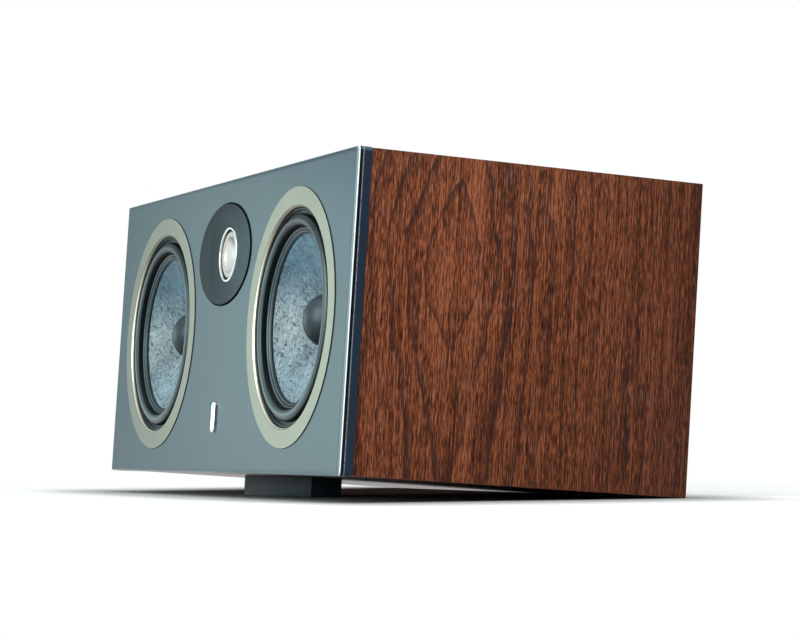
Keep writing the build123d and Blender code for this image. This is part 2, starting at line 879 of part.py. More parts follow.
os.makedirs("parts", exist_ok=True)
for node, solid in stand_on_floor(build_nodes()).items():
    export_step(solid, f"parts/{node}.step")
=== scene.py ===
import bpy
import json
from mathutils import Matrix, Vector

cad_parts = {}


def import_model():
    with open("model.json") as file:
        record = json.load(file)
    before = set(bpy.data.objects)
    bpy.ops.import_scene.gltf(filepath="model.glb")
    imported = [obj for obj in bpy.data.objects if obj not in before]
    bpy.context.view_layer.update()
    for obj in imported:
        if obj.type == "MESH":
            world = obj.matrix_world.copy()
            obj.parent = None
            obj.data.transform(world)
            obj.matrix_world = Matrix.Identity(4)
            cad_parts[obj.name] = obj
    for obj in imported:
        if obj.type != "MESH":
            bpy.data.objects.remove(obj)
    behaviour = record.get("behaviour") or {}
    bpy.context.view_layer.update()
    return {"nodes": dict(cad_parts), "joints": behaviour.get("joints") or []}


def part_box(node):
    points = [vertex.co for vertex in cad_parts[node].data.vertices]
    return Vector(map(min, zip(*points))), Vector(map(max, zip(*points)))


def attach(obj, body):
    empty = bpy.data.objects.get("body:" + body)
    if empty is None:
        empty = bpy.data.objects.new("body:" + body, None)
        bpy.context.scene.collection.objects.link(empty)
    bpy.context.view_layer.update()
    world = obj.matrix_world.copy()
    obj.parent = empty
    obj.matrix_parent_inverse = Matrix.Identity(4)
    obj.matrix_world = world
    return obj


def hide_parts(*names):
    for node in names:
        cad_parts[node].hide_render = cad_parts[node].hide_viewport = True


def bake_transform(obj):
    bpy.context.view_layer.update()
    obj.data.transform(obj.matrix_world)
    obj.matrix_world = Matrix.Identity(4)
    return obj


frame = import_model()

import json
import math

import bmesh
import bpy
from bpy.props import FloatProperty, FloatVectorProperty, IntProperty, PointerProperty
from mathutils import Matrix, Vector

bl_info = {
    "name": "Center Channel Speaker",
    "version": (1, 0, 0),
    "blender": (4, 5, 0),
    "location": "View3D > Sidebar > Speaker",
    "description": "Finishes a center channel speaker: "
    "painted front, veneer, drivers, rear fittings and a plain studio",
    "category": "Object",
}

MM = 0.001
SIDES = ("left", "right")
WHITE = (1.0, 1.0, 1.0)
COOL = (0.76, 1.0, 0.96)
RUBBER_SHEEN = (0.72, 0.96, 1.0)
SCREW_STEEL = (0.10, 0.10, 0.11)

# From the middle of a magnet forward to the face of the front
WOOFER_MAGNET_DEPTH = 60 * MM
TWEETER_MAGNET_DEPTH = 16 * MM

# The cabinet leans back, so the drivers' axis comes from the frame
joints = {joint["name"]: joint for joint in frame["joints"]}
ACROSS = Vector((1, 0, 0))
FORWARD = Vector(joints["right_cone_travel"]["axis"]).normalized()
UP = FORWARD.cross(ACROSS)
LEAN = math.atan2(FORWARD.z, -FORWARD.y)
LEANING = (LEAN, 0, 0)
SET_UPRIGHT = Matrix.Rotation(LEAN, 3, "X")


def setting(kind, **limits):
    """A short way to declare one kind of setting by its name, description and default."""

    def declare(name, description, default):
        return kind(name=name, description=description, default=default, **limits)

    return declare


length = setting(FloatProperty, min=0, precision=5, subtype="DISTANCE", unit="LENGTH")
colour = setting(FloatVectorProperty, min=0, max=1, size=3, subtype="COLOR")
share = setting(FloatProperty, min=0, max=1, subtype="FACTOR")
power = setting(FloatProperty, min=0, unit="POWER")
focal = setting(FloatProperty, min=1, unit="CAMERA")
position = setting(FloatVectorProperty, subtype="XYZ", unit="LENGTH")
direction = setting(FloatVectorProperty, subtype="XYZ")
count = setting(IntProperty, min=0)


class SPEAKER_PG_cabinet(bpy.types.PropertyGroup):
    """Sizes of the painted front and of the veneered boards."""

    width: length("Width", "Width of the painted front", 0.525)
    height: length("Height", "Height of the painted front", 0.210)
    flange: length("Flange", "Thickness of the front outside the carcass", 0.010)
    tongue: length("Tongue", "How far the front plugs into the carcass", 0.012)
    carcass_inset: length("Carcass inset", "From the front's outline into the carcass", 0.0157)
    corner: length("Corner radius", "Radius of the front's four corners", 0.0034)
    margin: length("Margin", "Flat border of the front's face", 0.0080)
    face_round: length("Face edge round", "Round between the face and the side band", 0.0031)
    board_round: length("Board edge round", "Sanded edge of the veneered boards", 0.00025)
    foot_round: length("Foot edge round", "Moulded edge of the foot bar", 0.0006)


class SPEAKER_PG_woofer(bpy.types.PropertyGroup):
    """Sizes of the woofers that show from the front."""

    rebate: length("Rebate radius", "Radius of the rebate in the front", 0.083)
    rebate_depth: length("Rebate depth", "Depth of that rebate", 0.006)
    hole: length("Hole radius", "Clear hole behind the rebate", 0.077)
    roll_middle: length("Roll middle", "Radius of the crest of the rubber roll", 0.0655)
    roll_rise: length("Roll rise", "Height of the roll over its flange", 0.0046)
    ridge: length("Ridge height", "Height of the fine ridges beside the roll", 0.0006)
    fibres: count("Fibres", "Fibres per square metre of cone", 200000)
    fibre_length: length("Fibre length", "Longest fibre in the cone's face", 0.0046)
    fibre_width: length("Fibre width", "Width of a fibre", 0.0010)
    seed: count("Seed", "Start of the random lay of the fibres", 7)


class SPEAKER_PG_tweeter(bpy.types.PropertyGroup):
    """Sizes of the tweeter's plate."""

    half_width: length("Half width", "Half the width of the elliptical plate", 0.059)
    half_height: length("Half height", "Half the height of the elliptical plate", 0.0366)
    gap: length("Gap", "Gap round the plate in its recess", 0.0005)
    recess: length("Recess", "Depth of the plate's recess", 0.003)
    boss: length("Boss hole", "Radius of the hole behind the plate", 0.0339)


class SPEAKER_PG_finish(bpy.types.PropertyGroup):
    """Colours and sheen of the finishes."""

    paint: colour("Paint", "Satin paint of the front", (0.016, 0.036, 0.050))
    paint_side: colour("Paint side", "Navy band down the front's ends", (0.0125, 0.0185, 0.031))
    paint_sheen: share("Paint roughness", "Roughness of the satin paint", 0.31)
    veneer_dark: colour("Veneer dark", "Darkest growth lines", (0.026, 0.0085, 0.0065))
    veneer_middle: colour("Veneer middle", "Main tone of the veneer", (0.112, 0.0275, 0.0088))
    veneer_light: colour("Veneer light", "Lightest streaks", (0.225, 0.068, 0.0280))
    ring: colour("Ring", "Champagne satin of the trim rings", (0.199, 0.197, 0.152))
    rubber: colour("Rubber", "Rubber of the rolls", (0.010, 0.0150, 0.0170))
    slate: colour("Slate", "Main tone of the cones", (0.20, 0.262, 0.278))
    slate_light: colour("Slate light", "Lightest fibres of the cones", (0.33, 0.41, 0.42))
    slate_dark: colour("Slate dark", "Darkest flecks of the cones", (0.026, 0.055, 0.078))
    cap: colour("Dust cap", "Soft black of the dust caps", (0.009, 0.014, 0.017))
    plate: colour("Plate", "Dark plastic of the tweeter plate", (0.026, 0.041, 0.049))
    foot: colour("Foot", "Moulded plastic of the foot bar", (0.0115, 0.025, 0.032))
    # Also the colour of the painted highlight line on the front's ends
    bright: colour("Bright metal", "Polished metal", (0.86, 0.86, 0.84))
    black: colour("Black", "Black board and moulded plastic", (0.012, 0.013, 0.014))
    red: colour("Red", "Red binding cap", (0.42, 0.012, 0.010))
    gold: colour("Gold", "Plated posts", (0.86, 0.62, 0.28))


class SPEAKER_PG_stage(bpy.types.PropertyGroup):
    """Camera, floor and light."""

    lens: focal("Lens", "Focal length", 131.4)
    camera: position("Camera", "Camera's place", (1.98838, -0.76147, 0.04026))
    sight: direction("Sight", "Direction the camera looks in", (-0.930613, 0.363615, 0.041746))
    level: direction("Level", "The camera's right-hand side", (0.363663, 0.931506, -0.006715))
    floor: length("Floor", "Side of the pale floor", 14.0)
    left_light: power("Left light", "Power of the low softbox on the left", 2.1)
    front_light: power("Front light", "Power of the tall softbox before the front", 20.0)
    side_light: power("Side light", "Power of the side softbox", 85.0)
    top_light: power("Top light", "Power of the overhead softbox", 60.0)
    room: share("Room", "Level of the light from all round", 0.6)


# Placing


def standing(point):
    """Matrix of a frame at a point: x across, y up, z out of the cabinet."""
    return Matrix.Translation(point) @ Matrix((ACROSS, UP, FORWARD)).transposed().to_4x4()


def before(node, distance):
    """Frame at that distance before the middle of a round node."""
    low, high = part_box(node)
    point = (low + high) / 2 + FORWARD * distance
    point.x = round(point.x, 4)
    return standing(point)


def woofer_frame(side):
    """Frame of a woofer on the face of the front."""
    return before(f"{side}_magnet", WOOFER_MAGNET_DEPTH)


def tweeter_frame():
    """Frame of the tweeter on the face of the front."""
    return before("tweeter_magnet", TWEETER_MAGNET_DEPTH)


def front_frame():
    """Frame of the painted front, at the middle of its face."""
    left, right = (woofer_frame(side).translation for side in SIDES)
    return standing((left + right) / 2)


# Meshes


def piece(name, bm, place=None, sharp=32.0):
    """Object from a bmesh, set in place, smooth except at edges sharper than the angle."""
    bmesh.ops.remove_doubles(bm, verts=bm.verts, dist=1e-7)
    bmesh.ops.recalc_face_normals(bm, faces=bm.faces)
    mesh = bpy.data.meshes.new(name)
    bm.to_mesh(mesh)
    bm.free()
    if place is not None:
        mesh.transform(place)
    mesh.polygons.foreach_set("use_smooth", [True] * len(mesh.polygons))
    mesh.set_sharp_from_angle(angle=math.radians(sharp))
    made = bpy.data.objects.new(name, mesh)
    bpy.context.scene.collection.objects.link(made)
    return made


def rounded(corners, closed=True, steps=5):
    """Points (a, b) of an outline with corners (a, b, radius), each an arc between short flats."""
    longest, beside = 0.42, 0.18  # shares of a straight side and of an arc's run along it
    outline = []
    total = len(corners)
    for i, corner in enumerate(corners):
        here = Vector(corner[:2])
        radius = corner[2] if len(corner) > 2 else 0
        end = not closed and i in (0, total - 1)
        if radius == 0 or end:
            outline.append(here)
            continue
        back = Vector(corners[i - 1][:2]) - here
        ahead = Vector(corners[(i + 1) % total][:2]) - here
        half = back.angle(ahead) / 2
        run = min(radius / math.tan(half), longest * back.length, longest * ahead.length)
        radius = run * math.tan(half)
        back.normalize()
        ahead.normalize()
        centre = here + (back + ahead).normalized() * (radius / math.sin(half))
        flat = beside * run
        outline.append(here + back * (run + flat))
        first = here + back * run - centre
        last = here + ahead * run - centre
        turn = first.angle_signed(last)
        for step in range(steps + 1):
            outline.append(centre + Matrix.Rotation(-turn * step / steps, 2) @ first)
        outline.append(here + ahead * (run + flat))
    return outline


def turned(name, outline, place, segments=192, closed=True, sharp=32.0):
    """Turn an outline of (radius, depth) or (half width, half height, depth) millimetres."""
    bm = bmesh.new()
    angles = [2 * math.pi * step / segments for step in range(segments)]
    rows = []
    for point in outline:
        wide, high, depth = (point[0], *point) if len(point) == 2 else point
        level = -depth * MM
        if wide < 1e-6:
            rows.append([bm.verts.new((0, 0, level))] * segments)
            continue
        ring = [(wide * MM * math.cos(a), high * MM * math.sin(a), level) for a in angles]
        rows.append([bm.verts.new(corner) for corner in ring])
    for first, second in zip(rows, rows[1:] + rows[:1] if closed else rows[1:]):
        for step in range(segments):
            ahead = (step + 1) % segments
            corners = dict.fromkeys((first[step], first[ahead], second[ahead], second[step]))
            if len(corners) > 2:
                bm.faces.new(list(corners))
    return piece(name, bm, place, sharp)


def section(name, outline, place, first, last, steps=12):
    """Part of a turn of (radius, depth) millimetres between two angles, closed at both ends."""
    bm = bmesh.new()
    columns = []
    for step in range(steps + 1):
        angle = first + (last - first) * step / steps
        x, y = MM * math.cos(angle), MM * math.sin(angle)
        columns.append([bm.verts.new((r * x, r * y, -d * MM)) for r, d in outline])
    walls(bm, columns)
    bm.faces.new(columns[0])
    bm.faces.new(columns[-1])
    return piece(name, bm, place, 60.0)


def loop_of(bm, points, level):
    """Closed loop of vertices at one level."""
    return [bm.verts.new((x, y, level)) for x, y in points]


def walls(bm, loops):
    """Bands of faces from each loop to the next, all of the same count."""
    for first, second in zip(loops, loops[1:]):
        for i in range(len(first)):
            ahead = (i + 1) % len(first)
            bm.faces.new((first[i], first[ahead], second[ahead], second[i]))


def fill_between(bm, *loops):
    """Flat face bounded by the loops, the first one outside and the others as holes."""
    edges = []
    for loop in loops:
        for a, b in zip(loop, loop[1:] + loop[:1]):
            edges.append(bm.edges.get((a, b)) or bm.edges.new((a, b)))
    bmesh.ops.triangle_fill(bm, use_beauty=True, use_dissolve=False, edges=edges, normal=(0, 0, 1))


def oval(middle, half_width, half_height, points=160):
    """Points of an ellipse."""
    angles = [2 * math.pi * i / points for i in range(points)]
    return [
        (middle.x + half_width * math.cos(a), middle.y + half_height * math.sin(a)) for a in angles
    ]


def frame_path(half_width, half_height, corner, inset, drop, steps=6):
    """Points of a rounded rectangle, drawn in by the inset at its ends and the drop elsewhere."""
    radius = max(corner - inset, 0.3 * MM)
    x = half_width - inset - radius
    y = half_height - drop - radius
    points = []
    for quarter, (sx, sy) in enumerate(((1, 1), (-1, 1), (-1, -1), (1, -1))):
        for step in range(steps + 1):
            angle = math.pi / 2 * (quarter + step / steps)
            points.append((sx * x + radius * math.cos(angle), sy * y + radius * math.sin(angle)))
    return points


def cup(half_width, rise, steps):
    """Points of a ball's cap as (radius, distance from its pole)."""
    ball = (half_width**2 + rise**2) / (2 * rise)
    angles = [math.asin(half_width / ball) * i / steps for i in range(steps + 1)]
    return [(ball * math.sin(a), ball * (1 - math.cos(a))) for a in angles]


def sanded(node, name, edge):
    """Copy of a plain CAD board with its edges sanded round."""
    bm = bmesh.new()
    bm.from_mesh(frame["nodes"][node].data)
    bmesh.ops.remove_doubles(bm, verts=bm.verts, dist=1e-6)
    bmesh.ops.dissolve_limit(bm, angle_limit=math.radians(1), verts=bm.verts, edges=bm.edges)
    bevel = {"segments": 3, "profile": 0.5, "affect": "EDGES", "clamp_overlap": True}
    bmesh.ops.bevel(bm, geom=bm.edges[:], offset=edge, **bevel)
    return piece(name, bm, sharp=40.0)


def stands_for(made, body, finish, slot, *nodes):
    """Give a finished piece its body and finish, and hide the nodes it stands for; the slot is not
    used.
    """
    if finish is not None:
        made.data.materials.clear()
        made.data.materials.append(finish)
    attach(made, body)
    if nodes:
        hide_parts(*nodes)


def dress(finish, slot, *nodes):
    """Give CAD nodes that stay as they are their finish."""
    for node in nodes:
        mesh = frame["nodes"][node].data
        mesh.materials.clear()
        mesh.materials.append(finish)


# Node trees


def feed(tree, socket, value):
    """Link an input to another node's output or set its value; a colour gets its alpha."""
    if isinstance(value, bpy.types.NodeSocket):
        tree.links.new(value, socket)
    elif socket.type == "RGBA":
        socket.default_value = (*value, 1)
    else:
        socket.default_value = value


def add_node(tree, kind, inputs, **settings):
    """Add a node, set it and feed its inputs; returns its outputs."""
    made = tree.nodes.new(kind)
    for key, value in settings.items():
        setattr(made, key, value)
    for key, value in inputs.items():
        feed(tree, made.inputs[key], value)
    return made.outputs


FIBRE_INPUTS = {
    "Geometry": ("Face",),
    "Float": ("Density", "Length", "Width", "Lift", "Lay", "Spread"),
    "Int": ("Seed",),
    "Material": ("Finish",),
}


def fibre_tree():
    """Scatter short flat fibres over a face, each turned its own way."""
    tree = bpy.data.node_groups.new("cone_fibres", "GeometryNodeTree")
    for kind, labels in FIBRE_INPUTS.items():
        for label in labels:
            socket = f"NodeSocket{kind}"
            tree.interface.new_socket(name=label, in_out="INPUT", socket_type=socket)
    tree.interface.new_socket(name="Geometry", in_out="OUTPUT", socket_type="NodeSocketGeometry")
    given = tree.nodes.new("NodeGroupInput").outputs
    seed = given["Seed"]

    def add(kind, inputs, **settings):
        return add_node(tree, kind, inputs, **settings)

    points = add(
        "GeometryNodeDistributePointsOnFaces",
        {"Mesh": given["Face"], "Density": given["Density"], "Seed": seed},
    )
    strip = add(
        "GeometryNodeMeshGrid",
        {"Size X": given["Length"], "Size Y": given["Width"], "Vertices X": 5, "Vertices Y": 2},
    )
    lift = add("ShaderNodeCombineXYZ", {"Z": given["Lift"]})
    raised = add(
        "GeometryNodeTransform", {"Geometry": strip["Mesh"], "Translation": lift["Vector"]}
    )
    swing = add("FunctionNodeRandomValue", {2: -1.0, 3: 1.0, "Seed": seed}, data_type="FLOAT")
    wide = add("ShaderNodeMath", {0: swing[1], 1: given["Spread"]}, operation="MULTIPLY")
    angle = add("ShaderNodeMath", {0: wide["Value"], 1: given["Lay"]}, operation="ADD")
    euler = add("ShaderNodeCombineXYZ", {"Z": angle["Value"]})
    spin = add("FunctionNodeEulerToRotation", {"Euler": euler["Vector"]})
    laid = add(
        "FunctionNodeRotateRotation",
        {"Rotation": points["Rotation"], "Rotate By": spin["Rotation"]},
        rotation_space="LOCAL",
    )
    size = add(
        "FunctionNodeRandomValue",
        {0: (0.3, 0.5, 1.0), 1: (1.0, 1.3, 1.0), "Seed": seed},
        data_type="FLOAT_VECTOR",
    )
    fibres = add(
        "GeometryNodeInstanceOnPoints",
        {
            "Points": points["Points"],
            "Instance": raised["Geometry"],
            "Rotation": laid["Rotation"],
            "Scale": size[0],
        },
    )
    real = add("GeometryNodeRealizeInstances", {"Geometry": fibres["Instances"]})
    done = add("GeometryNodeSetMaterial", {"Geometry": real[0], "Material": given["Finish"]})
    tree.links.new(done["Geometry"], tree.nodes.new("NodeGroupOutput").inputs[0])
    return tree


def grown(name, base, tree, values, place):
    """Plain mesh object that a tree makes from a base mesh, set in place."""
    made = bpy.data.objects.new(name, base)
    bpy.context.scene.collection.objects.link(made)
    rule = made.modifiers.new("Rule", "NODES")
    rule.node_group = tree
    for item in tree.interface.items_tree:
        if item.in_out == "INPUT" and item.name in values:
            rule[item.identifier] = values[item.name]
    ready = made.evaluated_get(bpy.context.evaluated_depsgraph_get())
    mesh = bpy.data.meshes.new_from_object(ready)
    made.modifiers.remove(rule)
    made.data = mesh
    mesh.name = name
    mesh.transform(place)
    if not mesh.polygons:
        raise RuntimeError(f"{name} came out empty")
    return made


class Nodes:
    """Short ways to add shader nodes to a tree."""

    def __init__(self, tree):
        self.tree = tree

    def node(self, kind, inputs, output=0, **settings):
        return add_node(self.tree, kind, inputs, **settings)[output]

    def calc(self, operation, first, second=0.0):
        return self.node("ShaderNodeMath", {0: first, 1: second}, operation=operation)

    def add(self, first, second):
        return self.calc("ADD", first, second)

    def less(self, first, second):
        return self.calc("SUBTRACT", first, second)

    def times(self, first, second):
        return self.calc("MULTIPLY", first, second)

    def most(self, first, second):
        return self.calc("MAXIMUM", first, second)

    def off(self, value, middle=0.0):
        """How far a value is from a middle one."""
        return self.calc("ABSOLUTE", self.less(value, middle))

    def squares(self, first, second):
        """Sum of two squares."""
        return self.add(self.times(first, first), self.times(second, second))

    def span(self, value, low, high, to_low=0.0, to_high=1.0):
        """Move a value from one range to another, held at its ends."""
        inputs = {0: value, 1: low, 2: high, 3: to_low, 4: to_high}
        return self.node("ShaderNodeMapRange", inputs)

    def fall(self, value, first, last, top=1.0):
        """From the top down to 0 as a value runs from first to last."""
        return self.span(value, first, last, top, 0.0)

    def even(self, noise, low=0.0, high=1.0):
        """Stretch the middle of a noise over a range."""
        return self.span(noise, 0.3, 0.7, low, high)

    def between(self, amount, low, high):
        """From low to high by an amount of 0 to 1."""
        return self.span(amount, 0.0, 1.0, low, high)

    def zone(self, value, first, last, soft):
        """1 between two values, falling to 0 beyond them over the soft width."""
        rise = self.span(value, first - soft, first)
        return self.times(rise, self.fall(value, last, last + soft))

    def mix(self, amount, first, second, blend="MIX"):
        inputs = {0: amount, 6: first, 7: second}
        return self.node("ShaderNodeMix", inputs, 2, data_type="RGBA", blend_type=blend)

    def shift(self, amount, tone, low, high):
        """From one step of a colour to another."""
        return self.mix(amount, tinted(tone, low), tinted(tone, high))

    def layers(self, tone, *coats):
        """Lay coats of (amount, colour) over a colour, one after the other."""
        for amount, coat in coats:
            tone = self.mix(amount, tone, coat)
        return tone


class Finish(Nodes):
    """One material, built up a node at a time round its shader."""

    def __init__(self, name):
        self.material = bpy.data.materials.new(name)
        self.material.use_nodes = True
        super().__init__(self.material.node_tree)
        self.shader = self.tree.nodes["Principled BSDF"]

    def where(self, rotation=(0, 0, 0), stretch=(1, 1, 1)):
        """Place on the piece, turned first and then stretched."""
        place = self.node("ShaderNodeTexCoord", {}, "Object")
        if any(rotation):
            place = self.node("ShaderNodeMapping", {"Vector": place, "Rotation": rotation})
        if stretch != (1, 1, 1):
            place = self.node("ShaderNodeMapping", {"Vector": place, "Scale": stretch})
        return place

    def axes(self, rotation=(0, 0, 0)):
        """The x, y and z of the place on the piece."""
        return add_node(self.tree, "ShaderNodeSeparateXYZ", {0: self.where(rotation)})

    def driver_plan(self, place, folded=False):
        """Side, height and distance from a driver's axis; folded lays left on right."""
        x, _, z = self.axes(LEANING)
        axis = SET_UPRIGHT @ place.translation
        side = self.less(self.off(x) if folded else x, axis.x)
        height = self.less(z, axis.z)
        return side, height, self.calc("SQRT", self.squares(side, height))

    def noise(self, scale, detail=2.0, rough=0.5, bend=0.0, place=None):
        inputs = {"Scale": scale, "Detail": detail, "Roughness": rough, "Distortion": bend}
        return self.node("ShaderNodeTexNoise", {"Vector": place or self.where(), **inputs})

    def cells(self, scale):
        """Distance from the middle of the nearest of many cells."""
        inputs = {"Vector": self.where(), "Scale": scale}
        return self.node("ShaderNodeTexVoronoi", inputs, "Distance")

    def ramp(self, value, *stops):
        """Colour by value, from (place, colour) stops."""
        made = self.tree.nodes.new("ShaderNodeValToRGB")
        elements = made.color_ramp.elements
        while len(elements) < len(stops):
            elements.new(0.5)
        for element, (place, tone) in zip(elements, stops):
            element.position = place
            element.color = (*tone, 1)
        feed(self.tree, made.inputs[0], value)
        return made.outputs[0]

    def relief(self, height, strength, distance):
        inputs = {"Height": height, "Strength": strength, "Distance": distance}
        return self.node("ShaderNodeBump", inputs)

    def grained(self, tone, grain, rough, relief, **sockets):
        """Shade with a colour and a grain, which varies the roughness and stands out in relief."""
        rough = self.even(grain, *rough)
        relief = self.relief(grain, *relief)
        return self.shade(Base_Color=tone, Roughness=rough, Normal=relief, **sockets)

    def shade(self, **sockets):
        for key, value in sockets.items():
            feed(self.tree, self.shader.inputs[key.replace("_", " ")], value)
        return self.material


def tinted(tone, by):
    """A colour made lighter or darker."""
    return tuple(min(1.0, channel * by) for channel in tone)


# Finishes


def paint_finish(look, face, middle, half_height):
    """Satin paint; its ends have a painted sheen on the round, a painted highlight line, a strip of
    painted shade and a thin painted highlight broken by specks.
    """
    f = Finish("satin_paint")
    spray = f.noise(1900.0, 2.0, 0.6)
    x, y, z = f.axes(LEANING)
    depth = f.less(y, face)
    end = f.span(f.off(x), 0.2588, 0.2593)

    def strip(first, last, soft=0.0001):
        """Part of the ends between two depths behind the face."""
        return f.times(f.zone(depth, first, last, soft), end)

    # Mask of the top and bottom rounds of the face, which get a paler painted sheen
    near_rim = f.span(f.off(z, middle), half_height - 0.0012, half_height - 0.0004)
    speck = f.span(f.noise(1400.0, 2.0, 0.6), 0.40, 0.58, 0.25, 1.0)
    # Painted highlight: a bright, partly metallic line along each end, a little behind the face
    painted_highlight = strip(0.0012, 0.0017)
    tone = f.layers(
        f.shift(f.even(f.noise(9.0)), look.paint, 0.92, 1.08),
        (f.times(near_rim, f.fall(depth, 0.001, 0.003)), (0.15, 0.20, 0.21)),
        # Painted sheen on the round at each end
        (strip(0.0003, 0.0012, 0.0003), (0.155, 0.21, 0.225)),
        (strip(0.0019, 0.0200), look.paint_side),
        # Painted shade: a dark strip behind the highlight line
        (strip(0.0019, 0.0036), tinted(look.paint_side, 0.15)),
        # Painted highlight: a thin pale line, broken by specks
        (f.times(strip(0.0038, 0.0044), speck), (0.19, 0.215, 0.24)),
        (painted_highlight, look.bright),
    )
    rough = look.paint_sheen - 0.05, look.paint_sheen + 0.07
    sheen = {"Metallic": f.times(painted_highlight, 0.32), "IOR": 1.52, "Specular_Tint": (0.12, 0.28, 0.4)}
    return f.grained(tone, spray, rough, (0.16, 0.00005), **sheen)


def veneer_finish(name, look, upright, eye, seed, gloss=0.12):
    """Walnut veneer: growth lines bend round an eye, over straight fine grain with open pores."""
    f = Finish(name)
    x, across, z = f.axes(LEANING)
    along = z if upright else x
    plan = f.node("ShaderNodeCombineXYZ", {0: across, 1: along, 2: seed})

    def grain(wide, long, detail=2.0, rough=0.5):
        place = f.node("ShaderNodeMapping", {"Vector": plan, "Scale": (wide, long, 1)})
        return f.noise(1.0, detail, rough, place=place)

    def swing(value, by):
        return f.times(f.less(value, 0.5), by)

    # Distance from the eye, bowed more behind it than before it
    wander = f.add(swing(grain(20, 9), 0.026), swing(grain(80, 34), 0.008))
    aside = f.off(f.add(f.less(across, eye[1]), wander))
    past = f.less(along, eye[0])
    bow = f.span(past, -0.045, 0.02, 1.6, 1.3)
    steps = f.times(f.off(past), 50.0)
    far = f.calc("LOGARITHM", f.add(f.times(steps, steps), 1.0), math.e)
    reach = f.times(far, f.span(aside, 0.030, 0.085, 0.0080, 0.0026))
    both = f.add(f.calc("POWER", aside, bow), f.calc("POWER", reach, bow))
    rings = f.calc("POWER", both, f.calc("DIVIDE", 1.0, bow))
    inputs = {"W": rings, "Scale": 70.0, "Detail": 1.0}
    uneven = f.node("ShaderNodeTexNoise", inputs, noise_dimensions="1D")
    growth = f.calc("POWER", f.calc("DIVIDE", rings, 0.0175), 1.15)
    late = f.calc("FRACT", f.add(growth, swing(uneven, 0.9)))

    # Straight grain from wide bands down to single threads
    band = grain(80, 2.2, 3.0, 0.65)
    streak = grain(1000, 13, 2.0, 0.6)
    thread = grain(1400, 135, 2.0, 0.6)
    dash = grain(1500, 75, 1.0)
    tone = f.add(f.add(swing(streak, 1.15), swing(thread, 1.62)), swing(band, 0.66))
    wood = f.ramp(
        f.add(f.less(tone, swing(late, 0.12)), 0.5),
        (0.20, tinted(look.veneer_middle, 0.20)),
        (0.38, tinted(look.veneer_middle, 0.58)),
        (0.52, look.veneer_middle),
        (0.74, look.veneer_light),
    )

    # Growth lines, broken and fading away from the eye, then open and filled pores, then painted
    # shade toward the back
    line = f.times(f.span(late, 0.79, 0.94), f.fall(late, 0.965, 1.0))
    line = f.times(line, f.span(grain(40, 9), 0.36, 0.52, 0.62, 1.0))
    line = f.times(line, f.span(rings, 0.040, 0.080, 1.0, 0.5))
    pore = f.fall(dash, 0.33, 0.41)
    filled = f.times(f.span(dash, 0.62, 0.70), f.span(grain(12, 9), 0.42, 0.62, 0.10, 0.6))
    wood = f.layers(
        wood,
        (f.times(line, f.span(thread, 0.3, 0.6, 1.0, 0.75)), look.veneer_dark),
        (f.times(pore, 0.75), tinted(look.veneer_dark, 0.7)),
        (filled, (0.220, 0.115, 0.088)),
        # Painted shade: each board darker toward the back of the cabinet
        (f.span(across, 0.010, 0.105, 0.0, 0.34), look.veneer_dark),
    )
    return f.shade(
        Base_Color=wood,
        Roughness=f.even(thread, 0.48 - gloss / 2, 0.62 - gloss / 2),
        Specular_IOR_Level=gloss,
        Normal=f.relief(f.less(f.times(thread, 0.4), pore), 0.3, 0.0001),
    )


def ring_finish(look):
    """Champagne metal, finely blasted, with painted shade toward the left, a painted highlight on
    the bevel and near-black painted shade on the outer wall.
    """
    f = Finish("champagne_metal")
    blast = f.noise(2600.0)
    _, height, radius = f.driver_plan(woofer_frame("right"), True)
    # Painted shade: the outer wall is nearly black and loses its metal sheen
    wall = f.span(radius, 0.08765, 0.08785)
    # Painted highlight: a pale line on the bevel, fading out toward the top
    bevel = f.times(f.zone(radius, 0.0745, 0.0751, 0.0002), f.fall(height, 0.030, 0.064))
    tone = f.layers(
        f.shift(f.even(f.noise(16.0)), look.ring, 0.95, 1.04),
        # Painted shade: darker toward the left of the speaker
        (f.fall(f.axes()[0], -0.16, 0.10, 0.30), tinted(look.ring, 0.3)),
        (wall, tinted(look.ring, 0.03)),
        (bevel, (0.78, 0.76, 0.67)),
    )
    return f.grained(
        tone,
        blast,
        (0.28, 0.38),
        (0.08, 0.00003),
        Metallic=f.add(f.between(wall, 0.6, 0.0), f.times(bevel, 0.3)),
        Specular_IOR_Level=f.between(wall, 0.5, 0.05),
    )


def rubber_finish(name, tone, rough, scale):
    """Moulded rubber with a soft bloom and a fine grain."""
    f = Finish(name)
    grain = f.noise(scale, 3.0, 0.6)
    tone = f.shift(f.span(f.noise(30.0, 3.0), 0.35, 0.7), tone, 0.8, 1.35)
    rough = rough - 0.06, rough + 0.08
    sheen = {"Specular_IOR_Level": 0.4, "Specular_Tint": RUBBER_SHEEN}
    return f.grained(tone, grain, rough, (0.18, 0.00008), **sheen)


